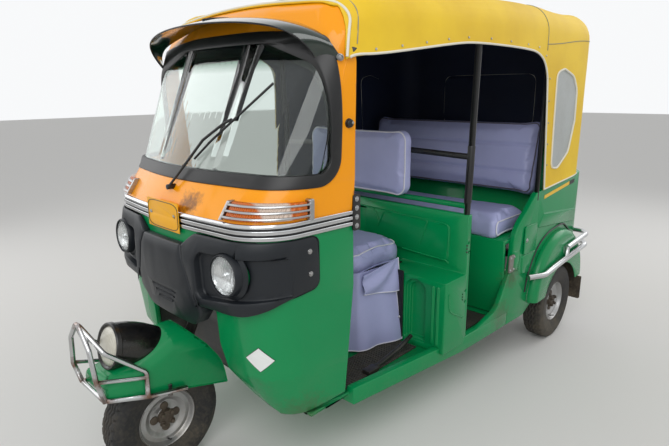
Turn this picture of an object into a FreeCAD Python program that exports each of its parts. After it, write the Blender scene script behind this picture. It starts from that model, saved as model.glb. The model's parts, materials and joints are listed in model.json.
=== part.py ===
import FreeCAD, Part
import math
import os
import re
import Sketcher
from FreeCAD import Rotation, Vector
from types import SimpleNamespace

# Three-wheeled passenger carrier: one steered wheel in front, a cab open at both sides,
# a bench for the passengers over the rear engine, and a canvas hood.
# Millimetres. z is up from the ground and the vehicle's own left is +x.
# Sizes along the vehicle are measured from the front axle towards the rear (+y).
# Every piece is then placed so that the middle of the vehicle's length is at y = 0.

SIZES = [
    # Wheels and axles
    ("seat_gap", 0.3),
    ("wheelbase", 2000),
    ("rear_track", 1150),
    ("tyre_radius", 203),
    ("tyre_width", 108),
    ("tyre_tread_width", 82),
    ("tyre_belly", 42),
    ("rim_radius", 108),
    ("rim_width", 82),
    ("rim_wall", 4),
    ("rim_disc_offset", 14),
    ("rim_well", 30),
    ("hub_radius", 30),
    ("hub_depth", 20),
    ("hub_lobe_radius", 15),
    ("hub_lobe_circle", 42),
    ("hub_lobe_depth", 7),
    ("hub_lobe_count", 4),
    ("drum_radius", 78),
    ("axle_radius", 13),
    # Reach of the bumper behind the rear axle
    ("rear_reach", 335),
    # Steering
    ("steer_rake", 26),
    ("column_radius", 19),
    ("column_foot", 430),
    ("column_head", 975),
    ("column_gap", 1),
    ("head_tube_radius", 32),
    ("head_tube_bottom", 530),
    ("head_tube_top", 850),
    ("handlebar_half", 290),
    ("handlebar_radius", 12),
    ("grip_radius", 17),
    ("grip_length", 120),
    ("fork_radius", 11),
    ("fork_side", 71),
    ("link_width", 22),
    # Front mudguard, its lamp and its guard rail
    ("mudguard_half", 90),
    ("mudguard_wall", 4),
    ("mudguard_top", 542),
    ("lamp_radius", 78),
    ("lamp_length", 236),
    ("lamp_lens_y", -165),
    ("lamp_lens_z", 535),
    ("rail_radius", 8),
    ("guard_half", 91),
    ("guard_nose", 245),
    ("guard_top", 638),
    # Front cowl
    ("cowl_half", 497),
    ("cowl_wall", 20),
    ("cowl_bottom", 262),
    ("cowl_nose", 80),
    ("cowl_rear", 485),
    ("nose_flat", 115),
    ("belt_z", 948),
    ("screen_bottom", 1062),
    ("screen_top", 1500),
    ("screen_rear", 397),
    ("screen_lean", 28),
    ("screen_corner", 62),
    ("screen_shoulder", 26),
    ("glass_thickness", 5),
    ("gasket_band", 24),
    ("gasket_proud", 5),
    ("header_top", 1628),
    ("strip_height", 13),
    ("strip_pitch", 19),
    ("strip_proud", 6),
    # Plastic face and lamps
    ("face_proud", 40),
    ("face_side_proud", 12),
    ("face_wing_top", 902),
    ("face_wing_bottom", 690),
    ("face_wing_rise", 40),
    ("face_wing_rear", 332),
    ("face_mask_half", 122),
    ("face_mask_top", 858),
    ("face_mask_foot", 573),
    ("face_seam", 4),
    ("face_seam_spread", 86),
    ("face_recess_floor", 8),
    ("face_slot_height", 6),
    ("face_slot_pitch", 20),
    ("face_slot_top", 676),
    ("headlamp_radius", 66),
    ("headlamp_x", 336),
    ("headlamp_z", 796),
    ("indicator_height", 50),
    ("indicator_start", 318),
    ("indicator_rear", 282),
    ("indicator_z", 990),
    ("indicator_proud", 14),
    ("guard_wire", 3),
    ("plate_width", 206),
    ("plate_height", 100),
    ("plate_thickness", 2),
    ("plate_z", 935),
    ("plate_hole_radius", 4),
    ("plate_hole_pitch", 150),
    ("wiper_z", 1026),
    ("wiper_lift", 4),
    ("dash_rear", 255),
    ("visor_thickness", 3),
    # Floor and partition
    ("floor_top", 272),
    ("floor_depth", 42),
    ("floor_front", 300),
    ("mat_thickness", 6),
    ("arch_wall", 8),
    ("partition_y", 1112),
    ("partition_wall", 28),
    ("partition_top", 840),
    ("side_half_mid", 575),
    ("side_half_rear", 600),
    ("box_depth", 150),
    ("box_width", 330),
    ("box_top", 585),
    ("box_arch_x", 428),
    ("box_arch_half", 52),
    ("box_arch_step", 16),
    ("emboss", 5),
    ("driver_seat_half", 305),
    ("driver_seat_front", 690),
    ("driver_cushion_depth", 385),
    ("driver_cushion_height", 115),
    ("driver_cushion_top", 705),
    ("driver_back_height", 310),
    ("driver_back_thickness", 62),
    ("driver_back_bottom", 872),
    # Rear body
    ("quarter_front", 1480),
    ("side_wall", 26),
    ("sill_bottom", 232),
    ("quarter_top", 852),
    ("rear_face", 2290),
    ("tail_round", 76),
    ("tail_seam", 505),
    ("rear_bottom", 520),
    ("wheel_arch_radius", 246),
    ("fender_side", 644),
    ("fender_radius", 318),
    ("fender_foot", 292),
    ("fender_round", 36),
    ("wheel_window_radius", 224),
    ("fender_wall", 4),
    ("bench_front", 1440),
    ("bench_rear", 1860),
    ("bench_base_top", 655),
    ("bench_half", 555),
    ("bench_cushion_height", 112),
    ("bench_back_height", 415),
    ("bench_back_thickness", 110),
    ("bench_back_lean", 12),
    ("lid_width", 640),
    ("lid_height", 240),
    ("lid_thickness", 18),
    ("lid_gap", 6),
    ("lid_top", 800),
    ("louvre_count", 5),
    ("hinge_radius", 5),
    ("hinge_rise", 4),
    ("hinge_inset", 70),
    ("hinge_length", 70),
    ("bumper_radius", 14),
    ("flap_width", 190),
    ("flap_thickness", 6),
    ("flap_low", 150),
    ("rail_width", 40),
    ("engine_width", 340),
    ("engine_length", 430),
    ("engine_height", 300),
    ("arm_width", 50),
    # Hood and its frame
    ("hood_wall", 5),
    ("hood_front", 418),
    ("hood_rear", 2262),
    ("hood_height", 1704),
    ("hood_door_top", 1505),
    ("hood_tail_round", 104),
    ("hood_seam_z", 1539),
    ("hood_seam_y", 2150),
    ("hood_hem", 858),
    ("bow_radius", 11),
    ("pole_radius", 13),
    ("pole_x", 556),
    ("cross_radius", 12),
]

doc = FreeCAD.newDocument("PassengerThreeWheeler")
sheet = doc.addObject("Spreadsheet::Sheet", "Sizes")
for row, (alias, value) in enumerate(SIZES, start=1):
    sheet.set(f"A{row}", alias)
    sheet.set(f"B{row}", str(value))
    sheet.setAlias(f"B{row}", alias)
doc.recompute()

d = SimpleNamespace(**{alias: float(sheet.get(alias)) for alias, value in SIZES})
ALIASES = {alias for alias, value in SIZES}
FRAME_Y = "(guard_nose + rail_radius - wheelbase - rear_reach) / 2"
SUB_PARTS = []


def tied(text):
    """An expression in the sheet's terms, from one written with bare aliases."""
    return re.sub(r"[a-z_]+", lambda word: f"Sizes.{word[0]}" if word[0] in ALIASES else word[0], text)


def register(piece, label):
    """Name a sub-part and move it to the vehicle's frame."""
    piece.Label = label
    piece.setExpression(".Placement.Base.y", tied(FRAME_Y))
    SUB_PARTS.append(piece)
    return piece


def feature(label, shape):
    """A sub-part whose form is worked out here from the sheet's sizes."""
    piece = doc.addObject("Part::Feature", label)
    piece.Shape = shape
    return register(piece, label)


def polygon_sketch(body, name, role, corners):
    """A closed sketch whose corners are pinned to expressions of the sheet."""
    sketch = body.newObject("Sketcher::SketchObject", name)
    plane = next(item for item in body.Origin.OriginFeatures if item.Role == role)
    sketch.AttachmentSupport = [(plane, "")]
    sketch.MapMode = "FlatFace"
    count = len(corners)
    ring = [Vector(100 * math.cos(2 * math.pi * i / count), 100 * math.sin(2 * math.pi * i / count), 0)
            for i in range(count)]
    for i in range(count):
        sketch.addGeometry(Part.LineSegment(ring[i], ring[(i + 1) % count]))
    for i in range(count):
        sketch.addConstraint(Sketcher.Constraint("Coincident", i, 2, (i + 1) % count, 1))
    for i, (across, up) in enumerate(corners):
        for kind, start, text in (("DistanceX", ring[i].x, across), ("DistanceY", ring[i].y, up)):
            index = sketch.addConstraint(Sketcher.Constraint(kind, -1, 1, i, 1, start))
            sketch.setExpression(f"Constraints[{index}]", tied(text))
    return sketch


def padded_body(label, role, corners, length, midplane=True):
    """A body padded from one polygon sketch."""
    body = doc.addObject("PartDesign::Body", label)
    sketch = polygon_sketch(body, label + "_outline", role, corners)
    pad = body.newObject("PartDesign::Pad", label + "_pad")
    pad.Profile = sketch
    pad.setExpression("Length", tied(length))
    pad.Midplane = midplane
    sketch.Visibility = False
    return body, pad


def revolved_body(label, corners):
    """A body turned about the x axis from a sketch of distance along it and radius."""
    body = doc.addObject("PartDesign::Body", label)
    sketch = polygon_sketch(body, label + "_outline", "XY_Plane", corners)
    turned = body.newObject("PartDesign::Revolution", label + "_turned")
    turned.Profile = sketch
    turned.ReferenceAxis = (sketch, ["H_Axis"])
    turned.Angle = 360
    sketch.Visibility = False
    return body


# Outlines are lists of corners (across, up, corner radius) in one of three views
VIEWS = {
    "side": (lambda p, at: Vector(at, p.x, p.y), Vector(1, 0, 0)),
    "front": (lambda p, at: Vector(p.x, at, p.y), Vector(0, 1, 0)),
    "plan": (lambda p, at: Vector(p.x, p.y, at), Vector(0, 0, 1)),
}


def rounded(corners, view, at):
    """A closed wire of lines with a tangent arc at each corner that has a radius."""
    lift = VIEWS[view][0]
    corners = [corner for i, corner in enumerate(corners) if corner[:2] != corners[i - 1][:2]]
    flat = [Vector(u, v, 0) for u, v, radius in corners]
    count = len(corners)
    turns = []
    for i in range(count):
        here, radius = flat[i], corners[i][2]
        back = (flat[i - 1] - here).normalize()
        ahead = (flat[(i + 1) % count] - here).normalize()
        half = back.getAngle(ahead) / 2
        if radius <= 0 or half > math.radians(89.9):
            turns.append((here, None, here))
            continue
        inward = (back + ahead).normalize()
        run = radius / math.tan(half)
        middle = here + inward * (radius / math.sin(half) - radius)
        turns.append((here + back * run, middle, here + ahead * run))
    edges = []
    for i in range(count):
        start, middle, finish = turns[i]
        following = turns[(i + 1) % count][0]
        if middle is not None:
            edges.append(Part.Arc(lift(start, at), lift(middle, at), lift(finish, at)).toShape())
        if (finish - following).Length > 0.01:
            edges.append(Part.LineSegment(lift(finish, at), lift(following, at)).toShape())
    return Part.Wire(edges)


def prism(corners, view, low, high):
    """A solid with the given outline in one view, from low to high across it."""
    face = Part.Face(rounded(corners, view, low))
    return face.extrude(VIEWS[view][1] * (high - low))


def mirrored(shape):
    """The same shape on the vehicle's other side."""
    return shape.mirror(Vector(0, 0, 0), Vector(1, 0, 0))


def both_sides(shape):
    return Part.makeCompound([shape, mirrored(shape)])


def symmetric(right_half):
    """Corners of an outline that is the same on both sides, from its +x half."""
    left_half = [(-u, v, radius) for u, v, radius in reversed(right_half)]
    return right_half + left_half


def tube(points, radius, bend):
    """A round bar along straight runs joined by tangent arcs."""
    points = [Vector(*point) for point in points]
    edges = []
    start = points[0]
    for i in range(1, len(points) - 1):
        here = points[i]
        back = points[i - 1] - here
        ahead = points[i + 1] - here
        half = back.getAngle(ahead) / 2
        run = min(bend / math.tan(half), 0.45 * back.Length, 0.45 * ahead.Length)
        back.normalize()
        ahead.normalize()
        inward = (back + ahead).normalize()
        middle = here + inward * (run * math.tan(half) * (1 / math.sin(half) - 1))
        edges.append(Part.LineSegment(start, here + back * run).toShape())
        edges.append(Part.Arc(here + back * run, middle, here + ahead * run).toShape())
        start = here + ahead * run
    edges.append(Part.LineSegment(start, points[-1]).toShape())
    ring = Part.Wire(Part.Circle(points[0], points[1] - points[0], radius).toShape())
    return Part.Wire(edges).makePipeShell([ring], True, False)


def rod(start, finish, radius):
    way = Vector(*finish) - Vector(*start)
    return Part.makeCylinder(radius, way.Length, Vector(*start), way)


def loft(sections):
    return Part.makeLoft(sections, True, True)


# Steering axis: a line raked back from the front axle
rake = math.radians(d.steer_rake)
STEER_WAY = Vector(0, math.sin(rake), math.cos(rake))


def on_steering_axis(height):
    """The point of the steering axis at a height over the ground."""
    return Vector(0, (height - d.tyre_radius) * math.tan(rake), height)


# Wheels: each tyre and pressed rim is turned from a section, with a lobed hub flange on the disc
def wheel(prefix, side, along):
    """Tyre and rim; side is the wheel centre's x and along its y, with the hub flange on +x."""
    facing = -1 if side.startswith("-") else 1
    tyre_right = [("rim_width / 2", "rim_radius"), ("tyre_width / 2", "rim_radius + tyre_belly"),
                  ("tyre_tread_width / 2", "tyre_radius")]
    tyre_left = [(f"-{across}", out) for across, out in reversed(tyre_right)]
    tyre = revolved_body(prefix + "_tyre", tyre_right + tyre_left)
    disc_face = "rim_disc_offset"
    disc_back = "rim_disc_offset - rim_wall"
    rim = revolved_body(prefix + "_rim", [
        ("-rim_width / 2", "rim_radius - seat_gap"), ("rim_width / 2", "rim_radius - seat_gap"),
        ("rim_width / 2", "rim_radius - rim_wall"), (f"{disc_face} + 8", "rim_radius - 14"),
        (f"{disc_face} + 12", "rim_radius - rim_well"), (disc_face, "hub_lobe_circle + hub_lobe_radius + 4"),
        (disc_face, "hub_radius"), (f"{disc_face} + hub_depth", "hub_radius - 4"),
        (f"{disc_face} + hub_depth", "0"), (disc_back, "0"),
        (disc_back, "hub_lobe_circle + hub_lobe_radius + 4"), (f"{disc_back} + 8", "rim_radius - rim_well"),
        ("-rim_width / 2", "rim_radius - rim_wall"),
    ])
    doc.recompute()
    lobe_sketch = rim.newObject("Sketcher::SketchObject", prefix + "_hub_lobe")
    plane = next(item for item in rim.Origin.OriginFeatures if item.Role == "YZ_Plane")
    lobe_sketch.AttachmentSupport = [(plane, "")]
    lobe_sketch.MapMode = "FlatFace"
    lobe_sketch.setExpression(".AttachmentOffset.Base.z", tied("rim_disc_offset - rim_wall / 2"))
    lobe_sketch.addGeometry(Part.Circle(Vector(0, d.hub_lobe_circle, 0), Vector(0, 0, 1), d.hub_lobe_radius))
    index = lobe_sketch.addConstraint(Sketcher.Constraint("Radius", 0, d.hub_lobe_radius))
    lobe_sketch.setExpression(f"Constraints[{index}]", tied("hub_lobe_radius"))
    lobe_sketch.addConstraint(Sketcher.Constraint("PointOnObject", 0, 3, -2))
    index = lobe_sketch.addConstraint(Sketcher.Constraint("DistanceY", -1, 1, 0, 3, d.hub_lobe_circle))
    lobe_sketch.setExpression(f"Constraints[{index}]", tied("hub_lobe_circle"))
    lobe = rim.newObject("PartDesign::Pad", prefix + "_hub_lobe_pad")
    lobe.Profile = lobe_sketch
    lobe.setExpression("Length", tied("hub_lobe_depth + rim_wall / 2"))
    doc.recompute()
    ring = rim.newObject("PartDesign::PolarPattern", prefix + "_hub_lobes")
    ring.Originals = [lobe]
    ring.Axis = (lobe_sketch, ["N_Axis"])
    ring.Angle = 360
    ring.setExpression("Occurrences", tied("hub_lobe_count"))
    rim.Tip = ring
    lobe_sketch.Visibility = False
    for piece in (tyre, rim):
        register(piece, piece.Name)
        piece.setExpression(".Placement.Base.x", tied(side))
        piece.setExpression(".Placement.Base.y", tied(f"{FRAME_Y} + {along}"))
        piece.setExpression(".Placement.Base.z", tied("tyre_radius"))
        piece.Placement.Rotation = Rotation(Vector(0, 0, 1), 0 if facing > 0 else 180)


wheel("front_wheel", "0", "0")
wheel("rear_left_wheel", "rear_track / 2", "wheelbase")
wheel("rear_right_wheel", "-rear_track / 2", "wheelbase")


# Front cowl: U-shaped plan sections, closed at the rear, from the lobes' foot to the header.
# Columns: height, nose y, corner x, corner y, corner radius, rear half width, rear y.
COWL_ROWS = [
    (d.cowl_bottom, d.cowl_nose + 125, d.cowl_half - 62, d.cowl_nose + 160, 135, d.cowl_half - 6,
     d.cowl_rear - 40),
    (430, d.cowl_nose + 38, d.cowl_half - 40, d.cowl_nose + 72, 160, d.cowl_half - 2, d.cowl_rear - 25),
    (700, d.cowl_nose + 4, d.cowl_half - 30, d.cowl_nose + 42, 172, d.cowl_half + 2, d.cowl_rear),
    (d.belt_z, d.cowl_nose, d.cowl_half - 30, d.cowl_nose + 38, 172, d.cowl_half, d.cowl_rear),
    (d.screen_bottom, d.cowl_nose + 62, d.cowl_half - 24, d.cowl_nose + 132, 180, d.cowl_half + 8,
     d.cowl_rear),
    (d.screen_top, d.cowl_nose + 252, d.cowl_half - 4, d.cowl_nose + 322, 120, d.cowl_half + 32,
     d.cowl_rear - 20),
    (d.header_top - 48, d.cowl_nose + 300, d.cowl_half - 20, d.cowl_nose + 356, 110, d.cowl_half - 4,
     d.cowl_rear + 5),
    (d.header_top, d.cowl_nose + 372, d.cowl_half - 118, d.cowl_nose + 402, 60, d.cowl_half - 96,
     d.cowl_rear + 15),
]
LOWER_ROWS = COWL_ROWS[:4]
UPPER_ROWS = COWL_ROWS[3:]


def cowl_solid(rows, inset, past_rear=0):
    """The space inside the cowl's skin moved in by an inset, out if it is negative."""
    sections = []
    for height, nose, corner_x, corner_y, radius, half, rear in rows:
        turn = math.atan2(corner_y - nose, corner_x - inset - d.nose_flat)
        bend = 0.9 * d.nose_flat / math.tan(turn / 2)
        right = [(half - inset, rear + past_rear, 0)] if past_rear else []
        right += [(half - inset, rear, 0), (corner_x - inset, corner_y + inset, radius - inset),
                  (d.nose_flat, nose + inset, bend)]
        sections.append(rounded(symmetric(right), "plan", height))
    return loft(sections)


def cowl_shell(rows, inset, thickness):
    return cowl_solid(rows, inset).cut(cowl_solid(rows, inset + thickness, 60))


# Opening between the two lobes for the steered wheel, seen from the front
ARCH_HALF = [(238, 668, 34), (224, 520, 90), (246, 428, 80), (300, 338, 60), (384, 262, 40), (384, 200, 0)]
arch_gap = prism(symmetric([(u, v, r) for u, v, r in reversed(ARCH_HALF)]), "front", -60, d.floor_front)
lobe_foot = prism([(-200, 160, 0), (d.cowl_rear + 80, 160, 0), (d.cowl_rear + 80, 300, 0),
                   (d.cowl_rear - 40, 300, 120), (250, d.cowl_bottom, 200), (150, d.cowl_bottom, 0),
                   (-200, d.cowl_bottom, 0)], "side", -700, 700)
lower_cowl = cowl_shell(LOWER_ROWS, 0, d.cowl_wall).cut(arch_gap).cut(lobe_foot)
feature("front_cowl_lower", lower_cowl)


# Black inner arch behind the lobes, with the sloping toe board that the column passes
def arch_outline(grow):
    top = ARCH_HALF[0][1]
    return symmetric([(u + grow, v + (grow if v == top else 0), r) for u, v, r in reversed(ARCH_HALF)])


toe_side = [(d.floor_front - 8, d.floor_top, 0), (d.floor_front, d.floor_top, 0), (d.floor_front, 460, 60),
            (198, 668, 0), (190, 668, 0), (d.floor_front - 8, 452, 60)]
arch_inside = cowl_solid(LOWER_ROWS, d.cowl_wall)
arch_tunnel = prism(arch_outline(d.arch_wall), "front", 60, d.floor_front).cut(
    prism(arch_outline(0), "front", -60, d.floor_front + 60))
behind_toe = prism([(-100, 200, 0), (d.floor_front, 200, 0), (d.floor_front, 460, 60), (198, 668, 0),
                    (198, 720, 0), (-100, 720, 0)], "side", -600, 600)
toe_board = prism(toe_side, "side", -200 - d.cowl_half, 200 + d.cowl_half)
toe_board = toe_board.common(prism(arch_outline(0), "front", -60, d.floor_front + 60))
column_hole = Part.makeCylinder(d.head_tube_radius + d.seat_gap, 900, on_steering_axis(300), STEER_WAY)
wheel_house = arch_tunnel.common(arch_inside).common(behind_toe).fuse(toe_board.common(arch_inside))
floor_clear = prism([(-700, 100, 0), (700, 100, 0), (700, d.floor_top, 0), (-700, d.floor_top, 0)], "front",
                    -100, 600)
wheel_house = wheel_house.cut(floor_clear).cut(column_hole).cut(lower_cowl).removeSplitter()
feature("wheel_house", wheel_house)


# Upper cowl with the windscreen opening, which wraps round both corners to narrow pillars
def screen_outline(grow):
    """The windscreen's outline from the side, where its rear corners show."""
    low = d.screen_bottom + 12 - grow
    high = d.screen_top + grow
    return [(-60, low, 0), (d.screen_rear + grow, low, d.screen_corner + grow),
            (d.screen_rear + grow, 1270, 900),
            (d.screen_rear - d.screen_lean + grow, high, d.screen_shoulder + grow),
            (-60, high, 0)]


def screen_prism(grow):
    return prism(screen_outline(grow), "side", -700, 700)


glass_inset = 6
gasket_lap = 16
upper_shell = cowl_shell(UPPER_ROWS, 0, d.cowl_wall)
upper_cowl = upper_shell.cut(screen_prism(0)).removeSplitter()
feature("front_cowl_upper", upper_cowl)
glass_band = cowl_shell(UPPER_ROWS, glass_inset, d.glass_thickness)
glass = glass_band.common(screen_prism(-glass_inset))
feature("windscreen_glass", glass)
gasket_band = cowl_shell(UPPER_ROWS, -d.gasket_proud, d.gasket_proud + 2 * glass_inset + d.glass_thickness)
gasket_ring = screen_prism(d.gasket_band).cut(screen_prism(-gasket_lap))
feature("windscreen_gasket", gasket_band.common(gasket_ring).cut(upper_cowl).cut(glass))

# Three bright strips round the belt, each lying on the cowl's skin
strips = []
belt_skin = cowl_shell(COWL_ROWS[2:5], -d.strip_proud, d.strip_proud)
for number in range(3):
    low = d.belt_z - d.strip_height - number * d.strip_pitch + 8
    band = prism([(-900, low, 0), (900, low, 0), (900, low + d.strip_height, 0),
                  (-900, low + d.strip_height, 0)],
                 "front", -200, d.cowl_rear - 2)
    strips.append(belt_skin.common(band))
feature("belt_strips", Part.makeCompound(strips))

# Moulded face: a centre mask that runs down to the mudguard and a wing round each side,
# three mouldings with seams between them, proud of the cowl in front and thin at the ends
def cowl_row(height):
    """The cowl's plan at any height, between the rows of its table."""
    low = max(row for row in COWL_ROWS if row[0] <= height)
    high = min(row for row in COWL_ROWS if row[0] > height)
    share = (height - low[0]) / (high[0] - low[0])
    return [below + (above - below) * share for below, above in zip(low, high)]


def face_row(height, share):
    """The face's outer plan at a height, with a share of its full depth over the cowl."""
    height, nose, corner_x, corner_y, radius, half, rear = cowl_row(height)
    proud = d.face_proud * share
    return (height, nose - proud, corner_x, corner_y - 0.75 * proud, radius,
            half + d.face_side_proud * share, rear)


mask_edge = d.face_mask_top - 40
FACE_ROWS = [face_row(height, share) for height, share in
             ((d.face_mask_foot - 10, 0.75), (700, 1), (mask_edge, 1), (d.face_wing_top, 0.45), (930, 0.4))]
face_bulk = cowl_solid(FACE_ROWS, 0).cut(cowl_solid(LOWER_ROWS, d.cowl_wall, 60)).cut(lower_cowl)
face_bulk = face_bulk.cut(Part.makeCompound(strips))
seam_low = d.face_mask_half + d.face_seam_spread
mask = face_bulk.common(prism(symmetric([
    (150, d.face_mask_foot, 50), (seam_low, 640, 30), (d.face_mask_half + 52, 712, 60),
    (d.face_mask_half, d.face_mask_top, 12)]), "front", -200, 250))
slot_tools = [Part.makeBox(2 * (78 - 16 * i), 60, d.face_slot_height,
                           Vector(16 * i - 78, 0,
                                  d.face_slot_top - i * d.face_slot_pitch)) for i in range(3)]
slot_floor = cowl_solid(FACE_ROWS, 5)
mask = mask.cut(Part.makeCompound(slot_tools).cut(slot_floor))
mask = mask.cut(Part.makeCylinder(d.head_tube_radius + 12, 900, on_steering_axis(300), STEER_WAY))
wing_front = prism([(seam_low + d.face_seam, 640, 30), (620, 640, 0), (620, 940, 0),
                    (d.face_mask_half + 60, d.face_wing_top, 60),
                    (d.face_mask_half + d.face_seam, d.face_mask_top, 12),
                    (d.face_mask_half + 52 + d.face_seam, 712, 60)], "front", -200, 400)
wing_side = prism([(-100, 640, 0), (100, 668, 60), (200, d.face_wing_bottom + 22, 200),
                   (d.face_wing_rear, d.face_wing_bottom + d.face_wing_rise, 34),
                   (d.face_wing_rear, d.face_wing_top, 26), (-100, d.face_wing_top, 0)], "side", 0, 700)
wing = face_bulk.common(wing_front).common(wing_side)
recess_front = prism([(seam_low - 4, 694, 30), (620, 742, 0), (620, 850, 0),
                      (d.face_mask_half + 76, 850, 40)],
                     "front", -200, 400)
recess_end = prism([(-100, 600, 0), (d.face_wing_rear - 20, 600, 0), (d.face_wing_rear - 20, 930, 0),
                    (-100, 930, 0)],
                   "side", 0, 700)
recess = recess_front.common(recess_end).cut(cowl_solid(COWL_ROWS[1:5], -d.face_recess_floor))
wing = wing.cut(recess)
lamp_way = Vector(0.06, -1, 0.04).normalize()
lamp_seat = Vector(d.headlamp_x, cowl_row(d.headlamp_z)[1] + 14, d.headlamp_z)


def lamp_bore(radius, start, length):
    return Part.makeCylinder(radius, length, lamp_seat + lamp_way * start, lamp_way)


wing = wing.cut(lamp_bore(d.headlamp_radius + 4 * d.seat_gap, -40, 200))
feature("front_face_panel", Part.makeCompound([mask, wing, mirrored(wing)]))

# Headlamps: a bulged glass on a bowl that stands in the face's recess, against the cowl
bowl_front = 22
bowl = lamp_bore(d.headlamp_radius, -40, bowl_front + 40)
lens_rise = 14
lens_ball = (d.headlamp_radius ** 2 + lens_rise ** 2) / (2 * lens_rise)
lens_centre = lamp_seat + lamp_way * (bowl_front + lens_rise - lens_ball)
dome = Part.makeSphere(lens_ball, lens_centre).common(lamp_bore(d.headlamp_radius, bowl_front, 60))
headlamp = bowl.cut(cowl_solid(LOWER_ROWS, 0)).fuse(dome).cut(wing).removeSplitter()
feature("headlamps", both_sides(max(headlamp.Solids, key=lambda solid: solid.Volume)))

# Indicators round the upper cowl's corners, each behind three bright wires between two brackets
ind_low = d.indicator_z - d.indicator_height / 2
ind_high = d.indicator_z + d.indicator_height / 2
guard_proud = d.indicator_proud + 2 * d.guard_wire


def indicator_window(start, rear, low, high):
    """From a width in front to a depth at the side, round the cowl's corner."""
    front = prism([(start, low, 0), (700, low, 0), (700, high, 0), (start, high, 0)], "front", -60, 400)
    return front.common(prism([(-60, low, 0), (rear, low, 0), (rear, high, 0), (-60, high, 0)], "side", 0,
                              700))


lens_skin = cowl_shell(UPPER_ROWS, -d.indicator_proud, d.indicator_proud)
indicator = lens_skin.common(indicator_window(d.indicator_start, d.indicator_rear, ind_low, ind_high))
feature("indicator_lamps", both_sides(indicator))
bracket_skin = cowl_shell(UPPER_ROWS, -guard_proud, guard_proud)
wire_skin = cowl_shell(UPPER_ROWS, -guard_proud, 2 * d.guard_wire)
start_window = indicator_window(d.indicator_start - 14, 400, ind_low - 2, ind_high + 2).cut(
    prism([(d.indicator_start - 4, 0, 0), (700, 0, 0), (700, 1200, 0), (d.indicator_start - 4, 1200, 0)],
          "front", -60, 400))
end_window = prism([(d.indicator_rear + 4, ind_low - 8, 6), (d.indicator_rear + 20, ind_low - 8, 6),
                    (d.indicator_rear + 20, ind_high + 8, 6), (d.indicator_rear + 4, ind_high + 8, 6)],
                   "side", 0, 700)
guard = bracket_skin.common(end_window).fuse(bracket_skin.common(start_window))
wires = []
for level in (-1, 0, 1):
    low = d.indicator_z + 17 * level - d.guard_wire
    wires.append(wire_skin.common(indicator_window(
        d.indicator_start - 10, d.indicator_rear + 10, low, low + 2 * d.guard_wire)))
guard = guard.fuse(wires).removeSplitter()
feature("indicator_guards", both_sides(guard.cut(indicator)))

# Front plate, leaning against the belt strips and the mask's top
plate = padded_body("front_plate", "XZ_Plane", [
    ("-plate_width / 2", "plate_z - plate_height / 2"), ("plate_width / 2", "plate_z - plate_height / 2"),
    ("plate_width / 2", "plate_z + plate_height / 2"), ("-plate_width / 2", "plate_z + plate_height / 2")],
    "plate_thickness", midplane=False)[0]
doc.recompute()
plate_holes = plate.newObject("Sketcher::SketchObject", "front_plate_hole_marks")
plate_plane = next(item for item in plate.Origin.OriginFeatures if item.Role == "XZ_Plane")
plate_holes.AttachmentSupport = [(plate_plane, "")]
plate_holes.MapMode = "FlatFace"
for number, side in enumerate((-1, 1)):
    plate_holes.addGeometry(Part.Circle(Vector(side * 75, 900, 0), Vector(0, 0, 1), 4))
    for kind, text in (("DistanceX", f"{side} * plate_hole_pitch / 2"), ("DistanceY", "plate_z")):
        index = plate_holes.addConstraint(Sketcher.Constraint(kind, -1, 1, number, 3,
                                                              75 * side if "X" in kind else 900))
        plate_holes.setExpression(f"Constraints[{index}]", tied(text))
    index = plate_holes.addConstraint(Sketcher.Constraint("Radius", number, 4))
    plate_holes.setExpression(f"Constraints[{index}]", tied("plate_hole_radius"))
plate_pocket = plate.newObject("PartDesign::Pocket", "front_plate_holes")
plate_pocket.Profile = plate_holes
plate_pocket.Type = "ThroughAll"
plate_pocket.Midplane = True
plate_holes.Visibility = False
register(plate, "front_plate")
plate.setExpression(".Placement.Base.y", tied(f"{FRAME_Y} + cowl_nose - strip_proud - seat_gap"))

# Windscreen wiper: spindle through the cowl, arm, and a blade lying along the glass
def skin_y(x, height):
    """The upper cowl's skin straight in front, at a width and a height."""
    height, nose, corner_x, corner_y, radius, half, rear = cowl_row(height)
    return nose + (corner_y - nose) * max(0, abs(x) - d.nose_flat) / (corner_x - d.nose_flat)


def over_glass(x, height, lift):
    return (x, skin_y(x, height) + glass_inset - lift, height)


blade_lift = d.wiper_lift + 1
arm_lift = blade_lift + 18
pivot_y = skin_y(0, d.wiper_z)
wiper = rod((0, pivot_y + 12, d.wiper_z), (0, pivot_y - 26, d.wiper_z), 9)
wiper = wiper.fuse(tube([(0, pivot_y - 20, d.wiper_z), over_glass(112, 1184, arm_lift),
                         over_glass(186, 1240, arm_lift),
                         over_glass(194, 1250, blade_lift)], 4.5, 20))
wiper = wiper.fuse(tube([over_glass(68, 1120, blade_lift), over_glass(130, 1178, blade_lift + 3),
                         over_glass(321, 1360, blade_lift)], d.wiper_lift, 40))
feature("wiper", wiper.cut(upper_cowl).removeSplitter())

# Sun visor: a curved band fixed over the screen's top, with its ends at the pillars
VISOR_ROWS = [
    (1395, d.cowl_nose + 95, d.cowl_half + 8, d.cowl_nose + 200, 170, d.cowl_half + 30, d.cowl_rear - 26),
    (d.screen_top + 52, d.cowl_nose + 268, d.cowl_half - 16, d.cowl_nose + 333, 122, d.cowl_half + 12,
     d.cowl_rear - 12),
]
visor_band = cowl_shell(VISOR_ROWS, 0, d.visor_thickness)
visor_keep = prism([(-d.cowl_half - 60, 1400, 20), (-330, 1400, 30), (-150, 1470, 200), (150, 1470, 200),
                    (330, 1400, 30), (d.cowl_half + 60, 1400, 20), (d.cowl_half + 60, 1470, 30),
                    (d.cowl_half - 70, 1538, 120), (-d.cowl_half + 70, 1538, 120),
                    (-d.cowl_half - 60, 1470, 30)],
                   "front", -200, d.cowl_rear - 40)
visor = visor_band.common(visor_keep).cut(cowl_solid(UPPER_ROWS, -d.seat_gap, 60))
feature("sun_visor", max(visor.Solids, key=lambda solid: solid.Volume))

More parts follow.
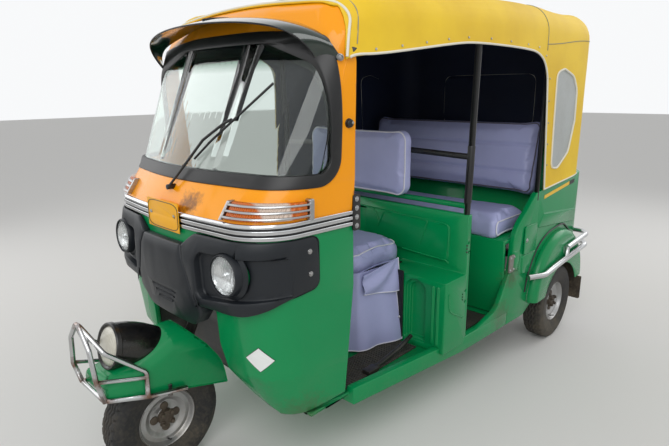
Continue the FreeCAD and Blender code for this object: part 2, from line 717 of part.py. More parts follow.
# Dash behind the screen, joined to the head tube that carries the column
dash_window = prism([(-600, d.belt_z - 60, 0), (600, d.belt_z - 60, 0), (600, d.screen_bottom - 6, 0),
                     (-600, d.screen_bottom - 6, 0)], "front", -60, d.dash_rear)
dash = cowl_solid(COWL_ROWS[2:6], d.cowl_wall + d.seat_gap).common(dash_window)
column_slot = Part.makeCylinder(d.column_radius + 12, 900, on_steering_axis(300), STEER_WAY)
head_foot = on_steering_axis(d.head_tube_bottom)
head_span = (d.head_tube_top - d.head_tube_bottom) / math.cos(rake)
head_tube = Part.makeCylinder(d.head_tube_radius, head_span, head_foot, STEER_WAY)
head_bore = Part.makeCylinder(d.column_radius + d.column_gap, 900, on_steering_axis(300), STEER_WAY)
feature("dash_panel", dash.cut(lower_cowl).cut(upper_cowl).cut(column_slot))
feature("head_tube", head_tube.cut(head_bore))


# Floor pan with its two sills, from the toe board to the seat bench
def body_half(y):
    """Half width of the lower body, which grows from the cowl to the rear wheels."""
    front_y, mid_y, rear_y = d.cowl_rear, d.partition_y, 1720
    if y <= mid_y:
        return d.cowl_half + (d.side_half_mid - d.cowl_half) * (y - front_y) / (mid_y - front_y)
    return d.side_half_mid + (d.side_half_rear - d.side_half_mid) * min(1, (y - mid_y) / (rear_y - mid_y))


def floor_plan(inset, front, rear):
    return symmetric([(body_half(front) - inset, front, 0),
                      (body_half(d.partition_y) - inset, d.partition_y, 0),
                      (body_half(rear) - inset, rear, 0)])


floor_low = d.floor_top - d.floor_depth
floor_pan = prism(floor_plan(0, d.cowl_rear + 0.3, d.bench_front - 0.3), "plan", floor_low, d.floor_top)
floor_sheet = 12
front_floor = prism(symmetric([(d.cowl_half - d.cowl_wall - 6, d.floor_front + 0.3, 0),
                               (d.cowl_half - d.cowl_wall - 6, d.cowl_rear + 0.3, 0)]),
                    "plan", d.floor_top - floor_sheet, d.floor_top)
front_floor = front_floor.cut(cowl_solid(LOWER_ROWS, 0).cut(cowl_solid(LOWER_ROWS, d.cowl_wall + 0.3, 60)))
sills = prism(floor_plan(0, d.cowl_rear + 0.3, d.quarter_front - 0.3), "plan", d.sill_bottom,
              d.floor_top + 24).cut(
    prism(floor_plan(34, d.cowl_rear - 10, d.quarter_front + 10), "plan", d.sill_bottom - 10,
          d.floor_top + 60))
floor_pan = floor_pan.fuse([sills, front_floor]).removeSplitter()
feature("floor_pan", floor_pan)

mats = []
for front, rear in ((d.cowl_rear - 120, d.partition_y - d.box_depth - 30),
                    (d.partition_y + d.partition_wall + 6, d.bench_front - 20)):
    for side in (-1, 1):
        if side < 0 and front > d.partition_y:
            continue
        left, right = (310, 452) if front < d.partition_y else (-500, 520)
        mats.append(Part.makeBox(right - left, rear - front, d.mat_thickness,
                                 Vector(left if side > 0 else -right, front, d.floor_top)))
floor_mats = Part.makeCompound(mats)
feature("floor_mats", floor_mats)

# Partition between driver and passengers, with the box beside the driver's seat
wall_back = d.partition_y + d.partition_wall / 2
wall_front = d.partition_y - d.partition_wall / 2
part_half = body_half(d.partition_y)
wall = Part.makeBox(2 * part_half, d.partition_wall, d.partition_top - d.floor_top,
                    Vector(-part_half, wall_front, d.floor_top))
corner_box = Part.makeBox(d.box_width, d.box_depth, d.box_top - d.floor_top,
                          Vector(part_half - d.box_width, wall_front - d.box_depth, d.floor_top))
for step in (0, 1):
    half = d.box_arch_half - step * d.box_arch_step
    top = d.box_top - d.box_arch_step * (1 + step)
    arch = [(d.box_arch_x - half, d.floor_top + 26 + 8 * step, 0),
            (d.box_arch_x + half, d.floor_top + 26 + 8 * step, 0),
            (d.box_arch_x + half, top, half - 1), (d.box_arch_x - half, top, half - 1)]
    corner_box = corner_box.cut(prism(arch, "front", wall_front - d.box_depth - 10,
                                      wall_front - d.box_depth + d.box_arch_step * (1 + step)))
ribs = [Part.makeBox(9, d.emboss, d.box_top - 60 - d.floor_top,
                     Vector(x - 4.5, wall_front - d.box_depth - d.emboss, d.floor_top + 36)) for x in (515,
                                                                                                       539)]
corner_box = corner_box.fuse(ribs)
panel = prism([(24, 648, 24), (484, 620, 24), (488, 786, 24), (24, 800, 24)], "front",
              wall_front - d.emboss, wall_front)
post_holes = [rod((part_half - 12, along, height), (part_half + 10, along, height), 6)
              for along,
              height in ((wall_front + 14, 721), (wall_front + 18, 680), (wall_front + 6, 512),
                         (wall_front + 8, 464))]
partition = wall.fuse([corner_box, mirrored(corner_box), panel, mirrored(panel)]).cut(post_holes)
feature("partition", partition.cut(floor_pan).removeSplitter())

# Driver's seat: skirted base, cushion and the back pad on the partition's top
feature("driver_seat_base", Part.makeBox(
    2 * d.driver_seat_half - 50, d.driver_cushion_depth - 40,
    d.driver_cushion_top - d.driver_cushion_height - d.floor_top,
    Vector(25 - d.driver_seat_half, d.driver_seat_front + 20, d.floor_top)).cut(partition))


def soft_block(length, width, height, corner, radius):
    block = Part.makeBox(length, width, height, corner)
    return block.makeFillet(radius, block.Edges)


cushion = soft_block(2 * d.driver_seat_half, d.driver_cushion_depth, d.driver_cushion_height,
                     Vector(-d.driver_seat_half, d.driver_seat_front,
                            d.driver_cushion_top - d.driver_cushion_height + 0.3), 30)
feature("driver_cushion", cushion)
back_pad = soft_block(2 * d.driver_seat_half, d.driver_back_thickness, d.driver_back_height,
                      Vector(-d.driver_seat_half,
                             d.partition_y - d.cross_radius - 0.3 - d.driver_back_thickness,
                             d.driver_back_bottom), 26)
feature("driver_backrest", back_pad)

# Bench base, cushion and back for the passengers
lean = math.tan(math.radians(d.bench_back_lean))
pad_y = d.bench_rear - 97
pad_z = d.bench_base_top + d.bench_cushion_height + 18
back_foot = (pad_y + d.bench_back_thickness / math.cos(math.radians(d.bench_back_lean))
             - (pad_z - d.bench_base_top) * lean + d.seat_gap)
bench_slant = [(d.bench_front + 40, d.floor_top, 0), (d.bench_front, d.bench_base_top, 0),
               (back_foot, d.bench_base_top, 0), (back_foot + 480 * lean, d.bench_base_top + 480, 0),
               (back_foot + 480 * lean + 14, d.bench_base_top + 480, 0),
               (back_foot + 14, d.bench_base_top - 20, 0),
               (d.bench_front + 22, d.bench_base_top - 20, 0), (d.bench_front + 60, d.floor_top, 0)]
bench_side = body_half(d.quarter_front + 100) - d.side_wall - 0.3
bench_base = prism(bench_slant, "side", -bench_side, bench_side).cut(floor_pan)
feature("bench_base", bench_base)
bench_cushion = soft_block(2 * d.bench_half, d.bench_rear - d.bench_front - 70, d.bench_cushion_height,
                           Vector(-d.bench_half, d.bench_front - 30, d.bench_base_top + 0.3), 36)
feature("passenger_cushion", bench_cushion)
bench_back = soft_block(2 * d.bench_half, d.bench_back_thickness, d.bench_back_height,
                        Vector(-d.bench_half, 0, 0), 34)
bench_back.rotate(Vector(0, 0, 0), Vector(1, 0, 0), -d.bench_back_lean)
bench_back.translate(Vector(0, pad_y, pad_z))
feature("passenger_backrest", bench_back.cut(bench_cushion))

# Rear quarters: flat side walls cut for the door's sweep, the wheel and the tail
door_sweep = [
    (d.quarter_front - 260, d.sill_bottom, 0), (d.quarter_front - 260, d.floor_top + 24, 0),
    (d.quarter_front - 90, d.floor_top + 70, 100), (d.quarter_front + 10, 520, 160),
    (d.quarter_front + 22, 700, 160), (d.quarter_front + 120, 770, 120),
              (d.quarter_front + 215, d.quarter_top, 40),
    (d.rear_face, d.quarter_top + 46, 0), (d.rear_face, d.rear_bottom, 30), (1900, d.rear_bottom, 0),
    (1800, 300, 0), (1720, d.sill_bottom + 40, 60), (1640, d.sill_bottom, 0),
]
quarter_side = prism(door_sweep, "side", -700, 700)


def side_plan(inset):
    front = d.quarter_front - 300
    side = body_half(1720) - inset
    return symmetric([(body_half(front) - inset, front, 0), (side, 1720, 0),
                      (side, d.rear_face - inset, d.tail_round - inset)])


side_band = prism(side_plan(0), "plan", 150, 1000).cut(prism(side_plan(d.side_wall), "plan", 100, 1100))
wheel_cut = Part.makeCylinder(d.wheel_arch_radius, 1600, Vector(-800, d.wheelbase, d.tyre_radius),
                              Vector(1, 0, 0))
tail_middle = Part.makeBox(2 * d.tail_seam, 600, 1200, Vector(-d.tail_seam, 1900, 100))
quarters = side_band.common(quarter_side).cut(wheel_cut).cut(tail_middle).cut(floor_pan)
halves = sorted(quarters.Solids, key=lambda solid: solid.Volume)[-2:]
halves.sort(key=lambda solid: solid.CenterOfMass.x)
feature("quarter_right", halves[0].cut(bench_base))

# Pressed rib under the belt, raised filler flap and latch plate on the left quarter
face_x = d.side_half_rear
rib = prism([(1714, 672, 10), (1790, 732, 14), (2206, 690, 10), (2206, 622, 10)], "side", face_x - 2,
            face_x + d.emboss)
flap_cover = prism([(1588, 466, 10), (1716, 450, 10), (1734, 554, 10), (1582, 556, 10)], "side",
                   face_x - 12, face_x + 1)
latch = prism([(1494, 500, 5), (1556, 492, 5), (1560, 588, 5), (1500, 596, 5)], "side", face_x - 18,
              face_x - 4)
feature("quarter_left", halves[1].cut(bench_base).fuse([rib, flap_cover, latch]).removeSplitter())

# Panel that closes the right side beside the passengers' knees
closing = side_band.common(prism([(d.partition_y + d.partition_wall / 2 + 0.3, d.floor_top + 24, 0),
                                  (d.quarter_front + 240, d.floor_top + 24, 0),
                                  (d.quarter_front + 240, d.quarter_top, 0),
                                  (d.partition_y + d.partition_wall / 2 + 0.3, d.quarter_top - 12, 0)],
                                 "side", -700, 0)).cut(quarters)
side_front = prism(floor_plan(0, d.partition_y, d.quarter_front), "plan", d.floor_top + 24,
                   d.quarter_top - 12).cut(
    prism(floor_plan(d.side_wall, d.partition_y - 20, d.quarter_front + 20), "plan", 200, 1000))
side_front = side_front.common(prism([(-700, 0, 0), (0, 0, 0), (0, 2000, 0), (-700, 2000, 0)], "plan", 100,
                                     1100))
side_front = side_front.cut(Part.makeBox(800, wall_back + 0.3, 900, Vector(-700, 0, 200)))
side_panel = closing.fuse(side_front).cut(quarters).cut(bench_base).removeSplitter()
feature("side_panel_right", max(side_panel.Solids, key=lambda solid: solid.Volume))

# Rear panel with its opening for the engine lid
rear_half = body_half(1720) - d.side_wall - 0.3
rear_wall = Part.makeBox(2 * d.tail_seam, d.side_wall, d.quarter_top + 40 - d.rear_bottom,
                         Vector(-d.tail_seam, d.rear_face - d.side_wall, d.rear_bottom))
lid_low = d.lid_top - d.lid_height
lid_opening = Part.makeBox(d.lid_width, 200, d.lid_height,
                           Vector(-d.lid_width / 2, d.rear_face - 100, lid_low))
deck = Part.makeBox(2 * rear_half, d.rear_face - d.side_wall - d.bench_rear - 120, 16,
                    Vector(-rear_half, d.bench_rear + 120, d.quarter_top + 10))
hinge_y = d.rear_face + d.hinge_radius + 1
leaves = []
for side in (-1, 1):
    start = side * (d.lid_width / 2 - d.hinge_inset)
    finish = start - side * d.hinge_length
    barrel_z = d.lid_top + d.hinge_rise
    barrel = rod((start, hinge_y, barrel_z), (finish, hinge_y, barrel_z), d.hinge_radius)
    leaf = Part.makeBox(d.hinge_length, 3, 34, Vector(min(start, finish), d.rear_face, barrel_z))
    leaves += [barrel, leaf]
rear_panel = rear_wall.cut(lid_opening).fuse([deck.cut(quarters)] + leaves).removeSplitter()
feature("rear_panel", rear_panel)

# Engine lid: a pressed tray with louvres, hinged along its top edge
lid_right = [("lid_width / 2 - lid_gap", "lid_top - lid_height + lid_gap"),
             ("lid_width / 2 - lid_gap", "lid_top - lid_gap"),
             ("lid_width / 2 - hinge_inset", "lid_top - lid_gap"),
             ("lid_width / 2 - hinge_inset", "lid_top + hinge_rise - hinge_radius - seat_gap"),
             ("lid_width / 2 - hinge_inset - hinge_length",
              "lid_top + hinge_rise - hinge_radius - seat_gap"),
             ("lid_width / 2 - hinge_inset - hinge_length", "lid_top - lid_gap")]
lid_left = [(f"-({across})", up) for across, up in reversed(lid_right)]
lid = padded_body("engine_lid", "XZ_Plane", lid_right + lid_left, "lid_thickness", midplane=False)[0]
doc.recompute()
louvre = polygon_sketch(lid, "engine_lid_louvre", "XZ_Plane", [
    ("-lid_width / 2 + 90", "lid_top - lid_height + 46"),
                                                               ("lid_width / 2 - 90",
                                                                "lid_top - lid_height + 46"),
    ("lid_width / 2 - 90", "lid_top - lid_height + 60"),
                                                               ("-lid_width / 2 + 90",
                                                                "lid_top - lid_height + 60")])
slot = lid.newObject("PartDesign::Pocket", "engine_lid_slot")
slot.Profile = louvre
slot.Type = "ThroughAll"
slot.Midplane = True
doc.recompute()
slots = lid.newObject("PartDesign::LinearPattern", "engine_lid_slots")
slots.Originals = [slot]
slots.Direction = (louvre, ["V_Axis"])
slots.setExpression("Length", tied("lid_height - 106"))
slots.setExpression("Occurrences", tied("louvre_count"))
lid.Tip = slots
louvre.Visibility = False
register(lid, "engine_lid")
lid.setExpression(".Placement.Base.y", tied(f"{FRAME_Y} + rear_face + hinge_radius + 1"))

# Rear fenders: half-round pressings outside the quarters, each turned from a rounded section
fender_y = d.wheelbase - 10
fender_mid = d.fender_foot
fender_tip = fender_y - d.fender_radius
fender_face = d.side_half_rear - 0.5
fender_hub = fender_y - 100
section = rounded([
    (fender_face, fender_tip, 0), (d.fender_side, fender_tip, d.fender_round),
    (d.fender_side, fender_hub, 0), (d.fender_side - d.fender_wall, fender_hub, 0),
    (d.fender_side - d.fender_wall, fender_tip + d.fender_wall, d.fender_round - d.fender_wall),
    (fender_face, fender_tip + d.fender_wall, 0)], "plan", fender_mid)
fender = Part.Face(section).revolve(Vector(0, fender_y, fender_mid), Vector(-1, 0, 0), 180)
wheel_window = Part.makeCylinder(d.wheel_window_radius, 500, Vector(400, d.wheelbase, d.tyre_radius),
                                 Vector(1, 0, 0))
fender = fender.cut(wheel_window).cut(quarters)
feature("rear_fenders", both_sides(max(fender.Solids, key=lambda solid: solid.Volume)))

# Tail lamps, rear bumper, mud flaps
lamp = Part.makeBox(70, 30, 110, Vector(424, d.rear_face, 660))
feature("tail_lamps", both_sides(lamp.makeFillet(8, lamp.Edges)))

bumper_y = d.wheelbase + d.rear_reach - d.bumper_radius
bumper_side = d.fender_side + d.bumper_radius + 2
low_start = [(d.side_half_rear + d.bumper_radius, 1640, 436), (bumper_side, 1720, 440)]
low_bar = [(bumper_side, 1990, 462), (bumper_side, bumper_y - 10, 484)]
lower = low_start + low_bar + [(-x, y, z) for x, y, z in reversed(low_start + low_bar)]
upper = [(bumper_side, 1990, 522), (bumper_side, bumper_y - 10, 544)]
upper = upper + [(-x, y, z) for x, y, z in reversed(upper)]
bumper = tube(lower, d.bumper_radius, 70).fuse(tube(upper, d.bumper_radius, 70))
posts = [rod((side * bumper_side, 1994, 462), (side * bumper_side, 1994, 522),
             d.bumper_radius * 0.8) for side in (-1, 1)]
posts += [rod((side * 420, bumper_y, 484), (side * 420, bumper_y, 544),
              d.bumper_radius * 0.8) for side in (-1, 1)]
stays = [Part.makeBox(30, bumper_y - d.rear_face, 8,
                      Vector(side * 420 - 15, d.rear_face, 540)) for side in (-1, 1)]
feature("rear_bumper", bumper.fuse(stays + posts).removeSplitter())

hanger_low = d.rear_bottom - 90
flap_y = d.rear_face - d.side_wall - 5
flap_side = d.fender_side + 16
flap_neck = d.fender_side - d.fender_wall - 4
flap = prism([(flap_side - d.flap_width, d.flap_low, 10), (flap_side, d.flap_low, 10),
              (flap_side, d.fender_foot - 6, 0),
              (flap_neck, d.fender_foot - 6, 0), (flap_neck, hanger_low - 20, 0),
              (flap_neck - 40, hanger_low + 28, 0),
              (flap_side - d.flap_width, hanger_low + 28, 0)],
             "front", flap_y + d.seat_gap, flap_y + d.seat_gap + d.flap_thickness)
feature("mud_flaps", both_sides(max(flap.cut(fender).Solids, key=lambda solid: solid.Volume)))

# Rear frame rails from the floor pan's end, engine between them, trailing arms with their hubs
rail_top = d.floor_top
engine_side = d.engine_width / 2
rail = d.rail_width
rear_rail = Part.makeBox(rail, d.rear_face - 60 - d.bench_front, d.floor_depth,
                         Vector(engine_side, d.bench_front, floor_low))
tail_post = Part.makeBox(rail, rail, d.quarter_top - 60 - floor_low,
                         Vector(engine_side, d.rear_face - d.side_wall - rail, floor_low))
hanger_bar = Part.makeBox(body_half(1720) - 30 - engine_side, 30, 30,
                          Vector(engine_side, flap_y - 30, hanger_low))
spring_y = 1850
spring_x = d.rear_track / 2 - 115
spring_top = 470
tower = prism([(engine_side, floor_low, 0), (engine_side + rail, floor_low, 0),
               (engine_side + rail, spring_top - 40, 60),
               (spring_x + 36, spring_top + 0.3, 0), (spring_x + 36, spring_top + 14, 0),
               (engine_side, spring_top + 14, 20)], "front", spring_y - 34, spring_y + 34)
tail_beam = Part.makeBox(2 * engine_side, rail, 30,
                         Vector(-engine_side, d.rear_face - d.side_wall - rail, floor_low))
rear_side = rear_rail.fuse([tail_post, hanger_bar, tower])
rear_frame = rear_side.fuse([mirrored(rear_side), tail_beam]).removeSplitter()
feature("rear_frame", rear_frame)
engine = Part.makeBox(d.engine_width, d.engine_length, d.engine_height,
                      Vector(-engine_side, 1640, 180)).cut(rear_frame)
feature("engine_block", engine)
hub_face = d.rear_track / 2 - 20
pivot_z = rail_top + 16
arm = prism([(1600, pivot_z - 20, 22), (1660, pivot_z + 30, 30), (1830, 300, 60),
             (d.wheelbase + 42, d.tyre_radius + 42, 40),
             (d.wheelbase + 42, d.tyre_radius - 42, 40), (d.wheelbase - 42, d.tyre_radius - 42, 40)],
            "side", hub_face - 120, hub_face - 120 + d.arm_width)
pivot = rod((engine_side, 1640, pivot_z), (hub_face - 120 + d.arm_width, 1640, pivot_z), 16)
drum = rod((hub_face - 120 + d.arm_width - 5, d.wheelbase, d.tyre_radius),
           (hub_face - 34, d.wheelbase, d.tyre_radius),
           d.drum_radius)
stub = rod((engine_side, d.wheelbase, d.tyre_radius),
           (hub_face + 20 + d.rim_disc_offset - d.rim_wall - 0.3, d.wheelbase, d.tyre_radius), d.axle_radius)
spring_seat = rod((spring_x, spring_y, 280), (spring_x, spring_y, spring_top), 32)
arms = arm.fuse([pivot, drum, stub, spring_seat]).removeSplitter()
feature("rear_arms", both_sides(arms.cut(engine).cut(rear_frame)))

# Steering column and handlebar
foot = on_steering_axis(d.column_foot)
span = (d.column_head - d.column_foot) / math.cos(rake)
column = Part.makeCylinder(d.column_radius, span, foot, STEER_WAY)
head = on_steering_axis(d.column_head)
bar = tube([(-d.handlebar_half, head.y + 95, head.z + 30), (-140, head.y + 42, head.z + 14),
            (140, head.y + 42, head.z + 14),
            (d.handlebar_half, head.y + 95, head.z + 30)], d.handlebar_radius, 60)
head_cowl = soft_block(170, 110, 60, Vector(-85, head.y - 30, head.z - 16), 18)
steering_column = column.fuse([bar, head_cowl]).removeSplitter()
feature("steering_column", steering_column)
grips = []
for side in (-1, 1):
    outer = Vector(side * d.handlebar_half, head.y + 95, head.z + 30)
    way = (outer - Vector(side * 140, head.y + 42, head.z + 14)).normalize()
    grips.append(Part.makeCylinder(d.grip_radius, d.grip_length, outer - way * (d.grip_length - 6), way))
feature("handlebar_grips", Part.makeCompound(grips).cut(steering_column))

# Front mudguard: a deep shell over the wheel, open below and behind, that turns with it.
# Columns: y, half width, crown height, crown radius.
MUDGUARD_ROWS = [
    (-222, d.mudguard_half - 4, d.mudguard_top - 84, 50),
    (-120, d.mudguard_half - 3, d.mudguard_top - 62, 64),
    (20, d.mudguard_half, d.mudguard_top, 80),
    (225, d.mudguard_half + 22, d.mudguard_top - 10, 90),
]
MUDGUARD_SIDE = [(-216, 398, 16), (-75, 346, 300), (60, 322, 300), (212, 288, 0), (196, 384, 200),
                 (138, 470, 200),
                 (62, 556, 0), (10, 546, 60), (-110, 480, 200), (-214, 456, 30)]


def mudguard_solid(inset):
    sections = []
    for along, half, crown, radius in MUDGUARD_ROWS:
        low = 150 - inset
        sections.append(rounded([(half - inset, low, 0), (half - inset, crown - inset, radius - inset),
                                 (inset - half, crown - inset, radius - inset), (inset - half, low, 0)],
                                "front", along + (inset if along < 0 and along < -200 else 0)))
    return loft(sections)


mudguard_outer = mudguard_solid(0).common(prism(MUDGUARD_SIDE, "side", -200, 200))
inner_side = [(-212, 300, 0), (240, 200, 0), (240, 620, 0), (62, 556 - d.mudguard_wall, 0),
              (10, 546 - d.mudguard_wall, 60), (-110, 480 - d.mudguard_wall, 200),
              (-210, 456 - d.mudguard_wall, 26)]
mudguard_inner = mudguard_solid(d.mudguard_wall).common(prism(inner_side, "side", -200, 200))
mudguard = mudguard_outer.cut(mudguard_inner)

# Fork: one leg beside the tyre from the column's foot to the pivot of the trailing link
crown_half = d.mudguard_half + 30
crown = Part.makeBox(2 * crown_half, 50, 30, Vector(-crown_half, foot.y - 30, foot.z - 10))
crown = crown.common(mudguard_solid(d.mudguard_wall + 0.3))
leg = tube([(-d.fork_side, foot.y - 10, foot.z - 10), (-d.fork_side, -40, 300), (-d.fork_side, -96, 236)],
           d.fork_radius, 60)
link = prism([(-110, 222, 14), (-84, 256, 14), (24, d.tyre_radius + 22, 20), (24, d.tyre_radius - 22, 20)],
             "side", -d.fork_side - d.link_width / 2, -d.fork_side + d.link_width / 2)
front_drum = rod((-d.fork_side + d.link_width / 2 - 4, 0, d.tyre_radius), (-28, 0, d.tyre_radius),
                 d.drum_radius)
front_axle = rod((-d.fork_side, 0, d.tyre_radius), (d.rim_disc_offset - d.rim_wall - 0.3, 0, d.tyre_radius),
                 d.axle_radius)
shock = rod((-d.fork_side, -6, d.tyre_radius + 20), (-d.fork_side, 60, foot.z - 40), 10)
fork = leg.fuse([link, front_drum, front_axle, shock, crown])
fork = fork.cut(Part.makeCylinder(d.column_radius, span, foot, STEER_WAY)).cut(mudguard)
feature("front_fork", max(fork.removeSplitter().Solids, key=lambda solid: solid.Volume))
feature("front_mudguard", mudguard.cut(Part.makeCylinder(d.column_radius + 0.3, span, foot, STEER_WAY)))

# Bullet lamp on the mudguard's crown
lamp_point = Vector(0, d.lamp_lens_y, d.lamp_lens_z)
lamp_back = Vector(0, 1, -0.245).normalize()
LAMP_SHARES = [(0, 0.96), (0.06, 1), (0.28, 0.98), (0.52, 0.86), (0.74, 0.66), (0.92, 0.36), (1, 0.1)]
lamp_profile = [(d.lamp_length * along, d.lamp_radius * out) for along, out in LAMP_SHARES]
points = [Vector(radius, 0, along) for along, radius in lamp_profile]
edges = [Part.LineSegment(Vector(0, 0, 0), points[0]).toShape()]
edges += [Part.LineSegment(points[i], points[i + 1]).toShape() for i in range(len(points) - 1)]
edges += [Part.LineSegment(points[-1], Vector(0, 0, d.lamp_length)).toShape(),
          Part.LineSegment(Vector(0, 0, d.lamp_length), Vector(0, 0, 0)).toShape()]
bullet = Part.Face(Part.Wire(edges)).revolve(Vector(0, 0, 0), Vector(0, 0, 1), 360)
bullet.Placement = FreeCAD.Placement(lamp_point, Rotation(Vector(0, 0, 1), lamp_back))
bullet = bullet.cut(mudguard_outer)
feature("mudguard_lamp", max(bullet.Solids, key=lambda solid: solid.Volume))

# Bright tube guard round the mudguard's nose: a low U, an arch in front, and side bars to its top
guard_half = d.guard_half
arch_y = -d.guard_nose
low_front = Vector(guard_half, arch_y + 20, 400)
high_rear = Vector(guard_half + 2, -84, 446)
low_rear = Vector(guard_half + 14, 49, 334)
post_foot = Vector(guard_half + 6, -88, 357)


def to_left(points):
    return points + [Vector(-point.x, point.y, point.z) for point in reversed(points)]


low_bar = tube(to_left([low_rear, post_foot, low_front]), d.rail_radius, 20)
shoulder = Vector(72, arch_y, 575)
arch_joint = Vector(guard_half + 2, arch_y + 2, 473)
arch_foot = low_front + (low_front - arch_joint).normalize() * 3
front_arch = tube(to_left([arch_foot, arch_joint, shoulder, Vector(12, arch_y, d.guard_top)]),
                  d.rail_radius, 24)
side_bars = tube(to_left([post_foot, high_rear, Vector(86, arch_y + 38, 556),
                          Vector(13, arch_y + 2, d.guard_top - 2)]), d.rail_radius, 22)
mid_bars = [rod((side * (guard_half + 2), -86, 425), (side * (guard_half + 2), arch_y + 3, 474),
                d.rail_radius * 0.8)
            for side in (-1, 1)]
tab = Part.makeBox(14, 12, 44, Vector(d.mudguard_half - 6, -14, 322))
guard_rail = low_bar.fuse([front_arch, side_bars, tab,
                           mirrored(tab)] + mid_bars).cut(mudguard_outer).cut(bullet)
feature("mudguard_guard", max(guard_rail.removeSplitter().Solids, key=lambda solid: solid.Volume))

# Hood: one canvas over bows, lofted through sections. Columns: y, half width, height, corner radius
HOOD_ROWS = [
    (d.hood_front, 532, d.hood_height - 74, 140),
    (900, 580, d.hood_height - 34, 150),
    (1500, 606, d.hood_height, 160),
    (d.hood_rear, 606, d.hood_height - 4, 160),
]


def hood_solid(inset, past=0):
    sections = []
    rows = [(d.hood_front - past,) + HOOD_ROWS[0][1:]] + HOOD_ROWS if past else HOOD_ROWS
    for along, half, height, radius in rows:
        reach = -inset if along == d.hood_rear else 0
        sections.append(rounded([(half - inset, 800 - inset, 0),
                                 (half - inset, height - inset, radius - inset),
                                 (inset - half, height - inset, radius - inset),
                                 (inset - half, 800 - inset, 0)],
                                "front", along + reach))
    return loft(sections)


hood_outer = hood_solid(0)
rear_round = prism([(300, 700, 0), (d.hood_rear, 700, 0), (d.hood_rear, d.hood_height + 30, 150),
                    (300, d.hood_height + 30, 0)],
                   "side", -800, 800)
rear_round_in = prism([(200, 600, 0), (d.hood_rear - d.hood_wall, 600, 0),
                       (d.hood_rear - d.hood_wall, d.hood_height + 30 - d.hood_wall, 145),
                       (200, d.hood_height + 30 - d.hood_wall, 0)], "side", -800, 800)
tail_slack = 1


def tail_plan(inset):
    """The hood's rounded plan, a shade outside its flat sides so that it only shapes the corners."""
    side = HOOD_ROWS[-1][1] + tail_slack - inset
    return prism(symmetric([(side + 100, 100, 0), (side + 100, 1400, 0), (side, 1600, 0),
                            (side, d.hood_rear + tail_slack - inset, d.hood_tail_round - inset)]),
                 "plan", 500, 2000)


canopy = hood_outer.common(rear_round).common(tail_plan(0)).cut(
    hood_solid(d.hood_wall, 60).common(rear_round_in).common(tail_plan(d.hood_wall)))
hem_cut = prism([(d.hood_front - 100, 700, 0), (d.hood_rear + 100, 700, 0),
                 (d.hood_rear + 100, d.hood_hem + 40, 0),
                 (1742, d.hood_hem, 0), (d.hood_front - 100, d.hood_hem - 10, 0)], "side", -800, 800)
door_high = [(d.hood_front - 60, 780, 0), (1742, 780, 0), (1742, d.hood_hem, 0), (1680, 1362, 0),
             (1642, 1446, 60),
             (1552, 1492, 80), (1036, d.hood_door_top, 300), (d.hood_front + 20, 1432, 100),
             (d.hood_front - 60, 1400, 0)]
left_door = prism(door_high, "side", 0, 800)
cab_door = prism([(d.hood_front - 60, 780, 0), (d.partition_y - 40, 780, 0), (d.partition_y - 20, 1440, 60),
                  (960, d.hood_door_top, 100), (d.hood_front + 20, 1432, 100), (d.hood_front - 60, 1400, 0)],
                 "side", -800, 0)
canopy = canopy.cut(hem_cut).cut(left_door).cut(cab_door)
QUARTER_PANE = [(1800, 960, 40), (1775, 1408, 40), (1860, 1428, 60), (1990, 1396, 90), (2046, 1320, 60),
                (2050, 1176, 60),
                (2000, 1022, 60), (1880, 952, 50)]
pane_hole = prism(QUARTER_PANE, "side", -800, 800)
rear_pane = [(300, 1120, 50), (300, 1420, 50), (-300, 1420, 50), (-300, 1120, 50)]
rear_hole = prism(rear_pane, "front", d.hood_rear - 60, d.hood_rear + 60)
panes = Part.makeCompound(canopy.common(pane_hole).Solids + canopy.common(rear_hole).Solids)
canopy = canopy.cut(pane_hole).cut(rear_hole).cut(upper_shell).cut(quarters)
canopy = max(canopy.Solids, key=lambda solid: solid.Volume)
roof_cut = Part.makeBox(1600, 3000, 600, Vector(-800, 0, d.hood_seam_z))
back_cut = Part.makeBox(1600, 600, d.hood_seam_z, Vector(-800, d.hood_seam_y, 0))
side_cut = Part.makeBox(1600, d.hood_seam_y, d.hood_seam_z, Vector(-800, 0, 0))
feature("hood_canvas", canopy.common(roof_cut))
feature("hood_back", canopy.common(back_cut))
feature("hood_sides", canopy.common(side_cut))
feature("hood_windows", panes)

# Bows and side rails that carry the hood, with the pole at the door and the rail across
def bow(along, half, height, foot_z):
    return tube([(half, along, foot_z), (half, along, height), (-half, along, height),
                 (-half, along, foot_z)],
                d.bow_radius, 140)


inner = d.hood_wall + d.bow_radius + 0.4
bows = [bow(d.partition_y, 586 - inner, d.hood_height - 22 - inner, 1460),
        bow(1706, 606 - inner, d.hood_height - 1 - inner, d.quarter_top - 40),
        bow(2120, 606 - inner, d.hood_height - 3 - inner, d.quarter_top - 40)]
rails = []
for side in (-1, 1):
    rails.append(rod((side * 520, d.hood_front + 30, 1452), (side * (586 - inner), d.partition_y, 1520),
                     d.bow_radius))
    rails.append(rod((side * (586 - inner), d.partition_y, 1520), (side * (606 - inner), 1706, 1500),
                     d.bow_radius))
pole = rod((d.pole_x, d.partition_y, d.partition_top - 20), (586 - inner, d.partition_y, 1520),
           d.pole_radius)
right_pole = rod((-d.pole_x, d.partition_y, d.partition_top - 20), (inner - 586, d.partition_y, 1520),
                 d.pole_radius)
cross = tube([(-d.pole_x, d.partition_y, 1075), (-220, d.partition_y, 1085), (220, d.partition_y, 1085),
              (d.pole_x, d.partition_y, 1075)], d.cross_radius, 80)
low_rail = rod((-d.pole_x, d.partition_y, d.partition_top + 34),
               (d.pole_x, d.partition_y, d.partition_top + 34), d.cross_radius)
frame = bows[0].fuse(bows[1:] + rails + [pole, right_pole, cross, low_rail])
frame = frame.cut(partition).cut(quarters).cut(side_panel).cut(canopy).cut(upper_shell).removeSplitter()
feature("hood_frame", max(frame.Solids, key=lambda solid: solid.Volume))

